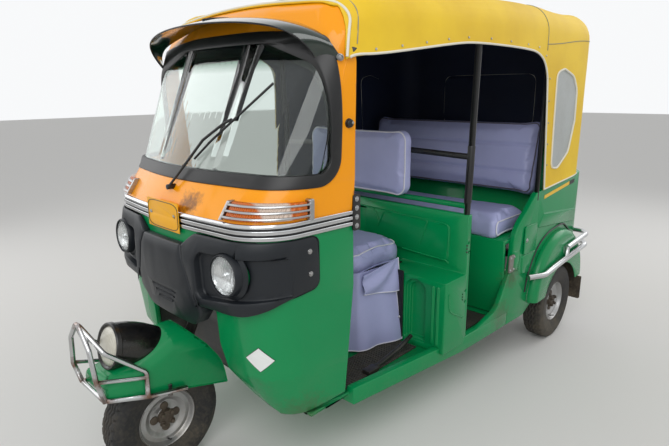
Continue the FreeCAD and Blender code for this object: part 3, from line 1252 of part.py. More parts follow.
# Foot brake, hand lever on the floor
pedal = rod((120, 470, d.floor_top + 62), (120, 560, d.floor_top), 8)
pad = Part.makeBox(70, 12, 50, Vector(85, 458, d.floor_top + 50))
feature("brake_pedal", pedal.fuse(pad).cut(floor_pan).removeSplitter())
lever = tube([(447, 640, d.floor_top + 12), (447, 820, d.floor_top + 40), (447, 900, d.floor_top + 66)], 9,
             60)
lever_foot = Part.makeBox(36, 60, 24, Vector(429, 610, d.floor_top))
feature("hand_lever", lever.fuse(lever_foot).cut(floor_mats).removeSplitter())

doc.recompute()

# Every object has to be sound before anything is written
os.makedirs("parts", exist_ok=True)
for item in doc.Objects:
    if "Invalid" in item.State or "Error" in item.State:
        raise RuntimeError(f"{item.Label} did not recompute: {item.State}")
for piece in SUB_PARTS:
    shape = piece.Shape
    if shape.isNull() or not shape.isValid() or not shape.Solids:
        raise RuntimeError(f"{piece.Label} has no sound shape")
for piece in SUB_PARTS:
    piece.Shape.exportStep(f"parts/{piece.Label}.step")
    box_ = piece.Shape.BoundBox
    print(f"{piece.Label}: {len(piece.Shape.Solids)} solids, {piece.Shape.Volume / 1e6:.3f} l, {box_}")
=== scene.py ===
import bpy
import json
import math
from contextlib import contextmanager
from mathutils import Matrix, Vector, noise

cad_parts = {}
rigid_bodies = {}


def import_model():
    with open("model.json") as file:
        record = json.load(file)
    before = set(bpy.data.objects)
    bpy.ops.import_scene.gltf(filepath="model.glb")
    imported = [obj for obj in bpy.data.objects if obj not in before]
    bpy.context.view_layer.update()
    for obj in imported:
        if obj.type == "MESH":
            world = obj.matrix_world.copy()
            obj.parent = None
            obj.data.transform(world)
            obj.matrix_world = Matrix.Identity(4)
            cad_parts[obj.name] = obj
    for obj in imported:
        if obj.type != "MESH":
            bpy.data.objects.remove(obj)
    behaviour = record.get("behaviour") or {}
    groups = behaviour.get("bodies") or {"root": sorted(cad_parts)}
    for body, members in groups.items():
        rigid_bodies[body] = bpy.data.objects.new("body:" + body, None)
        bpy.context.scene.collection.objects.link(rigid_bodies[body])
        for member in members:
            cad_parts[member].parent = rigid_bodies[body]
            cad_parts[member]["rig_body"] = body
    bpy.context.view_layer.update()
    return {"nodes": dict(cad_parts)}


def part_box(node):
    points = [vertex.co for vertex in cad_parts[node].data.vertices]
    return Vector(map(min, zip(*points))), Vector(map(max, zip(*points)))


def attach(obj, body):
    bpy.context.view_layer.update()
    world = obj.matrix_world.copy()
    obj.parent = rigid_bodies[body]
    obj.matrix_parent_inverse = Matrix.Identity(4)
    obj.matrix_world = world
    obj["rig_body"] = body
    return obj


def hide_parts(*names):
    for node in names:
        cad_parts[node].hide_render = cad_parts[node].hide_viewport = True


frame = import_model()


# Studio. The vehicle stands on a plain pale floor under a bright even sky, with one broad
# lamp over its front left and a weaker one behind. The eye is at the photograph's place,
# 1.34 m up, ahead of the left front corner.
scene = bpy.context.scene
scene.view_settings.view_transform = "Standard"
EYE = Vector((1.6147, -1.7960, 1.3352))
EYE_YAW, EYE_PITCH, EYE_ROLL = (math.radians(turn) for turn in (-44.19, 14.23, -0.56))
LENS = 28.03
ahead = Vector((math.sin(EYE_YAW) * math.cos(EYE_PITCH), math.cos(EYE_YAW) * math.cos(EYE_PITCH),
                -math.sin(EYE_PITCH)))
level = ahead.cross(Vector((0, 0, 1))).normalized()
upright = level.cross(ahead)
right = level * math.cos(EYE_ROLL) + upright * math.sin(EYE_ROLL)
up = upright * math.cos(EYE_ROLL) - level * math.sin(EYE_ROLL)
bpy.ops.object.camera_add(location=EYE, rotation=Matrix((right, up, -ahead)).transposed().to_euler())
camera = bpy.context.object
camera.name = "eye"
camera.data.lens = LENS
camera.data.sensor_width = 36
scene.camera = camera

LAMPS = [  # name, place, size, power
    ("key_lamp", (2.6, -3.4, 3.6), 3.2, 95),
    ("fill_lamp", (-3.2, -2.0, 2.4), 3.0, 30),
    ("back_lamp", (1.5, 4.0, 3.2), 3.0, 45),
]
for lamp_name, place, size, power in LAMPS:
    way = (Vector((0, 0, 0.8)) - Vector(place)).to_track_quat("-Z", "Y")
    bpy.ops.object.light_add(type="AREA", location=place, rotation=way.to_euler())
    bpy.context.object.name = lamp_name
    bpy.context.object.data.size = size
    bpy.context.object.data.energy = power


SKY_LIGHT = 0.62  # what the sky lends as light; where it is seen or mirrored it is at full strength
sky = bpy.data.worlds.new("sky")
scene.world = sky
sky.use_nodes = True
sky_nodes, sky_links = sky.node_tree.nodes, sky.node_tree.links
sky_shine = sky_nodes["Background"]
sky_shine.inputs["Color"].default_value = (0.94, 0.95, 0.96, 1)
sky_level = sky_nodes.new("ShaderNodeMix")
sky_level.inputs["A"].default_value = SKY_LIGHT
sky_level.inputs["B"].default_value = 1.0
rays = sky_nodes.new("ShaderNodeLightPath")
seen = rays.outputs["Is Camera Ray"]
for kind in ("Is Glossy Ray", "Is Transmission Ray"):
    either = sky_nodes.new("ShaderNodeMath")
    either.operation = "MAXIMUM"
    sky_links.new(seen, either.inputs[0])
    sky_links.new(rays.outputs[kind], either.inputs[1])
    seen = either.outputs[0]
sky_links.new(seen, sky_level.inputs["Factor"])
sky_links.new(sky_level.outputs["Result"], sky_shine.inputs["Strength"])

bpy.ops.object.select_all(action="DESELECT")
bpy.ops.mesh.primitive_plane_add(size=60, location=(0, 0, 0))
floor = bpy.context.object
floor.name = "floor"
floor_paint = bpy.data.materials.new("floor_paint")
floor_paint.use_nodes = True
floor_shader = floor_paint.node_tree.nodes["Principled BSDF"]
floor_shader.inputs["Base Color"].default_value = (0.72, 0.71, 0.69, 1)
floor_shader.inputs["Roughness"].default_value = 0.9
floor.data.materials.append(floor_paint)


# Body pressings. The floor tray, the lower cowl, the wall behind the driver, the bench's box
# and the rear quarters are pressed sheet, sprayed glossy green, with a faint orange-peel skin.
# Dust lies low down, and dark brown smudges show at the foot and the door sill.
FRONT_AXLE = 1.041  # metres from the frame's origin forward to the front axle


def at(x, y, z):
    """A point of the frame from millimetres: across, back from the front axle, up from the ground."""
    return Vector((x / 1000, y / 1000 - FRONT_AXLE, z / 1000))


def linear(colour):
    """Scene colour of an sRGB hex string."""
    parts = [int(colour[i:i + 2], 16) / 255 for i in (0, 2, 4)]
    return tuple(c / 12.92 if c <= 0.04045 else ((c + 0.055) / 1.055) ** 2.4 for c in parts) + (1,)


def effect(name, ins, outs):
    """An empty shader group with its sockets: (name, kind, default) in, (name, kind) out."""
    group = bpy.data.node_groups.new(name, "ShaderNodeTree")
    for label, kind, value in ins:
        socket = group.interface.new_socket(name=label, in_out="INPUT", socket_type="NodeSocket" + kind)
        if value is not None:
            socket.default_value = value
    for label, kind in outs:
        group.interface.new_socket(name=label, in_out="OUTPUT", socket_type="NodeSocket" + kind)
    return group, group.nodes.new("NodeGroupInput"), group.nodes.new("NodeGroupOutput")


def wire(tree, *pairs):
    for start, finish in pairs:
        tree.links.new(start, finish)


def object_place(tree):
    """Object coordinates, which are metres of the frame on every piece."""
    return tree.nodes.new("ShaderNodeTexCoord").outputs["Object"]


def object_axis(tree, axis):
    """One of the object coordinates."""
    parts = tree.nodes.new("ShaderNodeSeparateXYZ")
    wire(tree, (object_place(tree), parts.inputs[0]))
    return parts.outputs[axis]


def speckle(tree, coordinates, scale, detail=3, rough=0.55):
    """A noise texture on given coordinates; its value output."""
    node = tree.nodes.new("ShaderNodeTexNoise")
    node.inputs["Scale"].default_value = scale
    node.inputs["Detail"].default_value = detail
    node.inputs["Roughness"].default_value = rough
    tree.links.new(coordinates, node.inputs["Vector"])
    return node.outputs["Fac"]


def between(tree, value, low, high, to_low=0.0, to_high=1.0):
    """The value's place between two limits, clamped."""
    node = tree.nodes.new("ShaderNodeMapRange")
    for label, number in zip(("From Min", "From Max", "To Min", "To Max"), (low, high, to_low, to_high)):
        node.inputs[label].default_value = number
    tree.links.new(value, node.inputs["Value"])
    return node.outputs["Result"]


def arithmetic(tree, operation, first, second):
    node = tree.nodes.new("ShaderNodeMath")
    node.operation = operation
    for socket, item in zip(node.inputs, (first, second)):
        if isinstance(item, (int, float)):
            socket.default_value = item
        else:
            tree.links.new(item, socket)
    return node.outputs[0]


def blended(tree, factor, first, second):
    """A colour between two, each a socket or an RGBA tuple."""
    node = tree.nodes.new("ShaderNodeMix")
    node.data_type = "RGBA"
    for label, item in (("Factor", factor), ("A", first), ("B", second)):
        socket = node.inputs[label]
        if isinstance(item, (int, float, tuple)):
            socket.default_value = item
        else:
            tree.links.new(item, socket)
    return node.outputs["Result"]


def road_dust():
    """Colour and roughness of a surface under the dust that a road throws at it."""
    group, given, made = effect("road_dust", [("Colour", "Color", None), ("Roughness", "Float", 0.3),
                                              ("Amount", "Float", 0.5), ("Up to", "Float", 0.6)],
                                [("Colour", "Color"), ("Roughness", "Float")])
    place = object_place(group)
    rise = arithmetic(group, "DIVIDE", object_axis(group, "Z"), given.outputs["Up to"])
    low = arithmetic(group, "MAXIMUM", arithmetic(group, "SUBTRACT", 1.0, rise), 0.12)
    clouds = between(group, speckle(group, place, 6.0, 6, 0.65), 0.42, 0.72)
    grit = between(group, speckle(group, place, 90.0, 2), 0.45, 0.75)
    dirt = arithmetic(group, "ADD", clouds, arithmetic(group, "MULTIPLY", grit, 0.4))
    mask = arithmetic(group, "MULTIPLY", arithmetic(group, "MULTIPLY", dirt, low), given.outputs["Amount"])
    mask = arithmetic(group, "MINIMUM", mask, 0.85)
    colour = blended(group, mask, given.outputs["Colour"], linear("857A66"))
    rough = arithmetic(group, "ADD", given.outputs["Roughness"], arithmetic(group, "MULTIPLY", mask, 0.45))
    wire(group, (colour, made.inputs["Colour"]), (rough, made.inputs["Roughness"]))
    return group


def surface_grain():
    """Height of a fine texture with a coarser wave under it, both on object coordinates."""
    group, given, made = effect("surface_grain", [("Fine", "Float", 300.0), ("Coarse", "Float", 20.0),
                                                  ("Wave", "Float", 0.5)], [("Height", "Float")])
    place = object_place(group)
    textures = []
    for label in ("Fine", "Coarse"):
        node = group.nodes.new("ShaderNodeTexNoise")
        node.inputs["Detail"].default_value = 2
        wire(group, (place, node.inputs["Vector"]), (given.outputs[label], node.inputs["Scale"]))
        textures.append(node.outputs["Fac"])
    wave = arithmetic(group, "MULTIPLY", textures[1], given.outputs["Wave"])
    height = arithmetic(group, "ADD", textures[0], wave)
    wire(group, (height, made.inputs["Height"]))
    return group


def worn_spot():
    """A ragged blot, 1 at its middle and 0 outside its radius, on object coordinates."""
    group, given, made = effect("worn_spot", [("Middle", "Vector", None), ("Radius", "Float", 0.05),
                                              ("Strength", "Float", 0.8)], [("Mask", "Float")])
    place = object_place(group)
    gap = group.nodes.new("ShaderNodeVectorMath")
    gap.operation = "DISTANCE"
    wire(group, (place, gap.inputs[0]), (given.outputs["Middle"], gap.inputs[1]))
    ragged = arithmetic(group, "MULTIPLY", speckle(group, place, 55.0, 5, 0.7), 1.4)
    share = arithmetic(group, "DIVIDE", gap.outputs["Value"], given.outputs["Radius"])
    mask = between(group, arithmetic(group, "ADD", share, ragged), 0.85, 1.45, 1.0, 0.0)
    wire(group, (arithmetic(group, "MULTIPLY", mask, given.outputs["Strength"]), made.inputs["Mask"]))
    return group


def raised_by(tree, height, strength, distance):
    """Bumps a material by a height, on top of any bump that it has."""
    normal = tree.nodes["Principled BSDF"].inputs["Normal"]
    earlier = [link.from_socket for link in normal.links]
    bump = tree.nodes.new("ShaderNodeBump")
    bump.inputs["Strength"].default_value = strength
    bump.inputs["Distance"].default_value = distance
    wire(tree, (height, bump.inputs["Height"]), *((socket, bump.inputs["Normal"]) for socket in earlier))
    wire(tree, (bump.outputs["Normal"], normal))


DUST = road_dust()
GRAIN = surface_grain()
SPOT = worn_spot()


def finish(name, colour, roughness=0.5, dust=0.3, dust_top=0.6, grain=(300.0, 20.0, 0.5), bump=0.05,
           bump_depth=0.001, variation=0.06, second=None, spots=(), spot_colour="6B4A2A", **sockets):
    """A material: a slightly uneven colour under road dust and worn spots, over a fine bump.

    The dust thins out up to dust_top, in metres. The grain is (fine, coarse, wave), as surface_grain
    takes it; a spot is (middle, radius, strength). Other sockets of the shader are set by name.
    """
    material = bpy.data.materials.new(name)
    material.use_nodes = True
    tree = material.node_tree
    shader = tree.nodes["Principled BSDF"]
    base = linear(colour)
    shade = linear(second) if second else tuple(c * (1 - 3 * variation) for c in base[:3]) + (1,)
    patches = between(tree, speckle(tree, object_place(tree), 3.5, 4), 0.35, 0.7)
    mixed = blended(tree, patches, base, blended(tree, 0.5, base, shade))
    for middle, radius, strength in spots:
        spot = tree.nodes.new("ShaderNodeGroup")
        spot.node_tree = SPOT
        spot.inputs["Middle"].default_value = middle
        spot.inputs["Radius"].default_value = radius
        spot.inputs["Strength"].default_value = strength
        mixed = blended(tree, spot.outputs["Mask"], mixed, linear(spot_colour))
    dusted = tree.nodes.new("ShaderNodeGroup")
    dusted.node_tree = DUST
    dusted.inputs["Roughness"].default_value = roughness
    dusted.inputs["Amount"].default_value = dust
    dusted.inputs["Up to"].default_value = dust_top
    wire(tree, (mixed, dusted.inputs["Colour"]), (dusted.outputs["Colour"], shader.inputs["Base Color"]),
         (dusted.outputs["Roughness"], shader.inputs["Roughness"]))
    texture = tree.nodes.new("ShaderNodeGroup")
    texture.node_tree = GRAIN
    for socket, number in zip(texture.inputs, grain):
        socket.default_value = number
    raised_by(tree, texture.outputs["Height"], bump, bump_depth)
    for label, value in sockets.items():
        shader.inputs[label.replace("_", " ")].default_value = value
    return material


def banded(material, axis, low, high, colour, strength=1.0, fade=0.01):
    """Lays a second colour over a material's own between two places along an object axis."""
    tree = material.node_tree
    base = tree.nodes["Principled BSDF"].inputs["Base Color"]
    value = object_axis(tree, axis)
    rise = between(tree, value, low - fade, low + fade)
    fall = between(tree, value, high - fade, high + fade, 1.0, 0.0)
    mask = arithmetic(tree, "MULTIPLY", arithmetic(tree, "MULTIPLY", rise, fall), strength)
    wire(tree, (blended(tree, mask, base.links[0].from_socket, linear(colour)), base))


def select_only(*pieces):
    """Selects these pieces alone, the first of them active."""
    bpy.ops.object.select_all(action="DESELECT")
    for piece in pieces:
        piece.select_set(True)
    bpy.context.view_layer.objects.active = pieces[0]


@contextmanager
def editing(action="SELECT"):
    """Edit mode on the active piece, with everything or nothing selected, or (None) what was before."""
    bpy.ops.object.mode_set(mode="EDIT")
    if action:
        bpy.ops.mesh.select_all(action=action)
    yield
    bpy.ops.object.mode_set(mode="OBJECT")


def modified(piece, kind, **settings):
    """Puts a modifier with these settings on the active piece and applies it."""
    change = piece.modifiers.new(kind.lower(), kind)
    for label, value in settings.items():
        setattr(change, label, value)
    bpy.ops.object.modifier_apply(modifier=change.name)


def rounded_by_angle(degrees):
    """Shades the active piece smooth, apart from edges that turn more than this."""
    bpy.ops.object.shade_smooth_by_angle(angle=math.radians(degrees))


def coated(piece, *materials):
    """Replaces a piece's materials."""
    piece.data.materials.clear()
    for material in materials:
        piece.data.materials.append(material)


WELD = 0.00002  # metres between points that are one
FLAT = math.radians(0.4)  # turn between faces that are one flat


def dressed(node, material, soften=0.0012, angle=32, smooth=35, flatten=True):
    """A copy of a construction node with clean corners, softened edges and a finish."""
    source = frame["nodes"][node]
    piece = bpy.data.objects.new(node + "_finished", source.data.copy())
    scene.collection.objects.link(piece)
    select_only(piece)
    with editing():
        bpy.ops.mesh.remove_doubles(threshold=WELD)
        if flatten:
            bpy.ops.mesh.dissolve_limited(angle_limit=FLAT)
    if soften:
        modified(piece, "BEVEL", width=soften, segments=2, limit_method="ANGLE",
                 angle_limit=math.radians(angle), use_clamp_overlap=False, miter_outer="MITER_ARC")
    rounded_by_angle(smooth)
    coated(piece, material)
    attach(piece, source["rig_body"])
    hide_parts(node)
    return piece


SCUFFS = [(at(395, 70, 330), 0.16, 0.55), (at(430, 300, 270), 0.14, 0.5), (at(600, 1500, 470), 0.10, 0.6),
          (at(590, 1420, 300), 0.12, 0.5), (at(-395, 70, 330), 0.16, 0.5), (at(-600, 1500, 470), 0.10, 0.5)]
green_paint = finish("green_paint", "008A4E", 0.24, 0.10, 0.62, (500.0, 9.0, 1.0), 0.05, 0.0008, 0.05,
                     spots=SCUFFS, spot_colour="4A4632", Specular_IOR_Level=0.28, Coat_Weight=0.15,
                     Coat_Roughness=0.05)
cowl_green = green_paint.copy()
cowl_green.name = "cowl_green"
banded(cowl_green, "Z", 0.9055, 0.9475, "0C0D0F", 1.0, 0.0004)
PRESSED = {  # green pressing: edge softening in metres
    "floor_pan": 0.003, "partition": 0.004, "bench_base": 0.003,
    "quarter_right": 0.003, "quarter_left": 0.003, "side_panel_right": 0.003, "rear_panel": 0.002,
    "engine_lid": 0.002, "rear_fenders": 0.0015,
}
pressed = {node: dressed(node, green_paint, soften) for node, soften in PRESSED.items()}
pressed["front_cowl_lower"] = dressed("front_cowl_lower", cowl_green, 0.004)


# Body fittings. Steel screw and rivet heads sit square on what they hold: the black strap where
# the cowl ends, the post of the inner wall, the sill's latch plate and the filler flap. Beads
# pressed into the inner wall and into the box beside the seat stiffen them.
def begun(name, primitive, location=(0, 0, 0), **settings):
    """The mesh that a piece is modelled from, alone in the selection."""
    bpy.ops.object.select_all(action="DESELECT")
    primitive(location=location, **settings)
    piece = bpy.context.object
    piece.name = name
    return piece


def issued(piece, material, body):
    """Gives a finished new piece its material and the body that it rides."""
    coated(piece, material)
    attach(piece, body)
    return piece


def fastened(name, carrier, points, radius, height, material, body="root", sides=6, washer=1.45):
    """Screw or rivet heads of one size in one piece, each on the carrier's nearest surface."""
    cylinder = bpy.ops.mesh.primitive_cylinder_add
    head = begun("head", cylinder, (0, 0, height / 2), vertices=sides, radius=radius, depth=height)
    with editing():
        bpy.ops.mesh.bevel(offset=min(radius, height) * 0.35, segments=3)
    if washer:
        disc = begun("washer", cylinder, vertices=20, radius=radius * washer, depth=height * 0.5)
        with editing():
            bpy.ops.mesh.bevel(offset=height * 0.12, segments=1)
        select_only(head, disc)
        bpy.ops.object.join()
    pattern = head.data
    pattern.transform(head.matrix_world)
    head.matrix_world = Matrix.Identity(4)
    copies = []
    for point in points:
        _, seat, normal, _ = carrier.closest_point_on_mesh(point)
        copy = bpy.data.objects.new(name, pattern.copy())
        copy.data.transform(Matrix.Translation(seat) @ normal.to_track_quat("Z", "Y").to_matrix().to_4x4())
        scene.collection.objects.link(copy)
        copies.append(copy)
    bpy.data.objects.remove(head)
    select_only(*copies)
    if len(copies) > 1:
        bpy.ops.object.join()
    piece = copies[0]
    piece.name = name
    rounded_by_angle(40)
    return issued(piece, material, body)


def picking(points=False, lines=False, faces=False):
    """What edit mode selects from here on."""
    bpy.context.tool_settings.mesh_select_mode = (points, lines, faces)


def pick_lines(piece, wanted):
    """Selects the edges whose two ends pass a test."""
    picking(lines=True)
    with editing("DESELECT"):
        pass
    for line in piece.data.edges:
        line.select = wanted(*(piece.data.vertices[i].co for i in line.vertices))


def plated(name, low, high, rounding, material, body="root"):
    """A flat fitting between two corners in mm: thin across its shortest side, its corners rounded."""
    size = [(b - a) / 1000 for a, b in zip(low, high)]
    thin = size.index(min(size))
    piece = begun(name, bpy.ops.mesh.primitive_cube_add, size=1)
    with editing():
        bpy.ops.transform.resize(value=size)
        bpy.ops.transform.translate(value=at(*[(a + b) / 2 for a, b in zip(low, high)]))
    if rounding:
        pick_lines(piece, lambda a, b: abs((a - b).normalized()[thin]) > 0.9)
        with editing(None):
            bpy.ops.mesh.bevel(offset=rounding / 1000, segments=5)
    modified(piece, "BEVEL", width=0.0012, segments=3, limit_method="ANGLE")
    rounded_by_angle(35)
    return issued(piece, material, body)


def beading(name, points, radius, material, closed=False, body="root"):
    """A round cord, rod or bead laid along points as one smooth line, made into a mesh."""
    curve = bpy.data.curves.new(name, "CURVE")
    curve.dimensions = "3D"
    curve.bevel_depth = radius
    curve.bevel_resolution = 3
    curve.resolution_u = 5
    curve.use_fill_caps = True
    line = curve.splines.new("NURBS")
    line.points.add(len(points) - 1)
    for knot, place in zip(line.points, points):
        knot.co = (*place, 1)
    line.order_u = 3
    line.use_cyclic_u = closed
    line.use_endpoint_u = not closed
    piece = bpy.data.objects.new(name, curve)
    scene.collection.objects.link(piece)
    select_only(piece)
    bpy.ops.object.convert(target="MESH")
    bpy.ops.object.shade_smooth()
    return issued(bpy.context.object, material, body)


def on_surface(carrier, point, lift):
    """The place nearest to a point on a piece's surface, lifted off it by some metres."""
    _, seat, normal, _ = carrier.closest_point_on_mesh(point)
    return seat + normal * lift


black_paint = finish("black_paint", "131416", 0.38, 0.25, 0.8, (400.0, 25.0, 0.5), 0.08, 0.0008, 0.05)
bright_steel = finish("bright_steel", "B9BBBD", 0.28, 0.4, 1.2, (500.0, 40.0, 0.6), 0.08, 0.0006, 0.05,
                      second="6B5B4C", Metallic=1.0)
strap = plated("cowl_strap", (496, 477, 886), (504, 512, 1008), 8, black_paint)
fastened("cowl_strap_screws", strap, [at(520, 494, z) for z in (902, 932, 962, 992)], 0.0062, 0.0045,
         bright_steel)
post_holes = [at(585 + side * 7, 1080, z) for side in (-1, 1) for z in (684, 698, 712, 480, 492, 504)]
fastened("post_rivets", pressed["partition"], post_holes, 0.0030, 0.0014, black_paint,
         sides=12, washer=0)
PRESSED_LINES = {  # bead pressed into the inner wall: (x, z) points on its front face
    "wall_bead_left": [(-30, 806), (60, 806), (75, 802), (84, 790), (111, 736)],
    "wall_bead_middle": [(104, 720), (134, 786), (142, 797), (153, 802), (250, 797), (366, 792), (378, 788),
                         (378, 776), (341, 675)],
    "wall_bead_right": [(436, 785), (444, 791), (470, 790), (486, 788), (491, 778), (491, 720), (490, 668)],
    "wall_bead_low": [(250, 637), (287, 634), (400, 631), (468, 629), (484, 626), (489, 617)],
}
for name, points in PRESSED_LINES.items():
    line = [on_surface(pressed["partition"], at(x, 1080, z), 0.0006) for x, z in points]
    beading(name, line, 0.0036, green_paint)
BOX_LINE = [(970, 536), (971, 505), (974, 480), (984, 458), (1004, 442), (1050, 418), (1085, 400)]
line = [on_surface(pressed["partition"], at(600, y, z), 0.0004) for y, z in BOX_LINE]
beading("wall_bead_side", line, 0.0042, green_paint)
rusty_steel = finish("rusty_steel", "8E8E8C", 0.45, 0.8, 2.0, (300.0, 40.0, 0.6), 0.15, 0.001, 0.1,
                     second="7A4A28", Metallic=0.8)
latch = plated("latch_plate", (589, 1458, 500), (596, 1512, 584), 6, rusty_steel)
latch_holes = [at(620, 1485 + dy, 542 + dz) for dy in (-17, 17) for dz in (-30, 30)]
fastened("latch_screws", latch, latch_holes, 0.0045, 0.004, bright_steel)
flap = plated("filler_flap", (597, 1590, 560), (603, 1720, 700), 14, green_paint)
fastened("filler_lock", flap, [at(640, 1612, 630)], 0.007, 0.004, bright_steel, sides=16)


# Upper cowl. One pressing, sprayed orange, makes the screen's surround, the pillars and the
# header over the screen; road grime has run down beside the number plate.
GRIME = [(at(117, 103, 983), 0.075, 0.85), (at(150, 104, 1003), 0.05, 0.7), (at(95, 103, 955), 0.05, 0.7)]
orange_paint = finish("orange_paint", "FCA000", 0.24, 0.04, 2.0, (500.0, 9.0, 1.0), 0.05, 0.0008, 0.03,
                      spots=GRIME, spot_colour="7A4A18", Specular_IOR_Level=0.28, Coat_Weight=0.15,
                      Coat_Roughness=0.05)
upper_cowl = dressed("front_cowl_upper", orange_paint, 0.003)


# Belt. Three strips of bright plated metal, clipped on from behind with dark gaps between them,
# cover the joint between the two colours.
bright_plate = finish("bright_plate", "D2D4D6", 0.14, 0.2, 0.6, (300.0, 25.0, 0.6), 0.06, 0.0008, 0.05,
                      second="9A9692", Metallic=1.0)
dressed("belt_strips", bright_plate, 0.002)


# Windscreen. Laminated glass, green along its top, is held in the upper cowl by a thick black
# rubber gasket; the wiper's spindle comes through the cowl below it.
def clear(name, colour, roughness=0.03, transmission=1.0, ior=1.45, dust=0.05, **sockets):
    """See-through sheet or glass, a little dusty."""
    return finish(name, colour, roughness, dust, 3.0, (200.0, 4.0, 1.0), 0.02, 0.0006, 0.02,
                  Transmission_Weight=transmission, IOR=ior, **sockets)


black_rubber = finish("black_rubber", "101113", 0.42, 0.08, 0.4, (700.0, 30.0, 0.5), 0.15, 0.0006, 0.05)
screen_glass = clear("screen_glass", "DCE8E2", 0.02, 1.0, 1.45, 0.04)
banded(screen_glass, "Z", 1.415, 1.9, "2F6B4A", 0.85, 0.02)
screen = dressed("windscreen_glass", screen_glass, 0, flatten=False)
picking(faces=True)
for face in screen.data.polygons:
    outward = face.center - Vector((0, at(0, 640, 0).y, face.center.z))
    face.select = face.normal.dot(outward.normalized()) < 0.25
with editing(None):
    bpy.ops.mesh.delete(type="FACE")
modified(screen, "SOLIDIFY", thickness=0.005, offset=-1.0)
rounded_by_angle(50)
dressed("windscreen_gasket", black_rubber, 0.003, flatten=False)
dressed("wiper", black_paint, 0.0005)


# Sun visor. A dark green see-through sheet bent round the header: its rear edge lies on the
# header, its front edge reaches forward over the glass, and screws hold its drooping ends.
VISOR_REAR = [(516, 413, 1424), (510, 398, 1448), (488, 384, 1480), (431, 378, 1514), (314, 391, 1549),
              (160, 386, 1570), (0, 384, 1580)]
VISOR_FRONT = [(444, 386, 1404), (452, 352, 1446), (432, 314, 1486), (376, 278, 1517), (270, 246, 1536),
               (140, 222, 1545), (0, 214, 1548)]


def even_line(points, share):
    """A place at a share of the way along a line of points, on a smooth curve through them."""
    run = share * (len(points) - 1)
    index = min(int(run), len(points) - 2)
    t = run - index
    before = points[max(0, index - 1)]
    near, far = points[index], points[index + 1]
    after = points[min(len(points) - 1, index + 2)]
    return [0.5 * (2 * q + (r - p) * t + (2 * p - 5 * q + 4 * r - s) * t * t
                   + (3 * q - p - 3 * r + s) * t ** 3) for p, q, r, s in zip(before, near, far, after)]


def mirrored_line(points):
    return points + [(-x, y, z) for x, y, z in reversed(points[:-1])]


def woven_sheet(name, columns, rows, thickness, spot):
    """A thin sheet: a grid whose points are set by spot(u, v), with a thickness in metres."""
    piece = begun(name, bpy.ops.mesh.primitive_grid_add, x_subdivisions=columns, y_subdivisions=rows, size=2)
    for point in piece.data.vertices:
        point.co = spot((point.co.x + 1) / 2, (1 - point.co.y) / 2)
    with editing():
        bpy.ops.mesh.normals_make_consistent(inside=False)
    modified(piece, "SOLIDIFY", thickness=thickness, offset=0.0)
    rounded_by_angle(50)
    return piece


def visor_spot(u, v):
    rear, front = (Vector(even_line(mirrored_line(line), u)) for line in (VISOR_REAR, VISOR_FRONT))
    spot = rear.lerp(front, v)
    spot.z += 7 * math.sin(math.pi * v)
    return at(*spot)


visor_sheet = clear("visor_sheet", "0C2E20", 0.08, 0.55, 1.4, 0.05, Coat_Weight=1.0, Coat_Roughness=0.1)
visor = woven_sheet("visor", 72, 10, 0.003, visor_spot)
coated(visor, visor_sheet)
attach(visor, "root")
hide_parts("sun_visor")
beading("visor_lip", [visor_spot(i / 48, 1.0) for i in range(49)], 0.0026, black_rubber)
fastened("visor_screws", visor, [at(side * 530, 408, 1434) for side in (-1, 1)], 0.008, 0.006, bright_steel,
         sides=16)
bracket = [visor_spot(0.5, v) + Vector((0, 0, 0.004)) for v in (0.0, 0.25, 0.5, 0.62)]
beading("visor_bracket", bracket, 0.004, black_paint)
rest_pad = fastened("pillar_buffers", upper_cowl, [at(560, 441, 1236), at(-560, 441, 1236)], 0.013, 0.012,
                    black_rubber, sides=24, washer=1.15)
fastened("buffer_pins", rest_pad, [at(600, 441, 1236), at(-600, 441, 1236)], 0.0045, 0.003, bright_steel,
         sides=12, washer=0)


# Face panel. Three mouldings in matt dark grey plastic, a centre mask with the blank badge place
# and a wing with the lamps round each side; the wings are riveted to the cowl.
dark_plastic = finish("dark_plastic", "1B1F24", 0.42, 0.07, 0.5, (900.0, 40.0, 0.3), 0.18, 0.0006, 0.05,
                      Specular_IOR_Level=0.35)
face_panel = dressed("front_face_panel", dark_plastic, 0.006)
fastened("face_rivets", face_panel, [at(side * 520, 292, z) for side in (-1, 1) for z in (856, 782)], 0.0058,
         0.004, bright_steel, sides=16)


# Stickers without print. A white diamond with a thin black edge lies on the left lobe of the
# cowl, and a yellow strip with a black end runs along the left quarter under the hood.
def laid_patch(name, carrier, corners, columns, rows, material, lift=0.0012):
    """A thin sticker between four corner points, each of its points laid on the carrier's surface."""
    (a, b), (c, d) = corners

    def spot(u, v):
        return on_surface(carrier, a.lerp(b, u).lerp(c.lerp(d, u), v), lift)
    issued(woven_sheet(name, columns, rows, 0.0006, spot), material, "root")


def plain(name, colour, roughness, dust):
    """A smooth even material for cords, piping and stickers."""
    return finish(name, colour, roughness, dust, 2.0, (900.0, 30.0, 0.5), 0.1, 0.0004, 0.03)


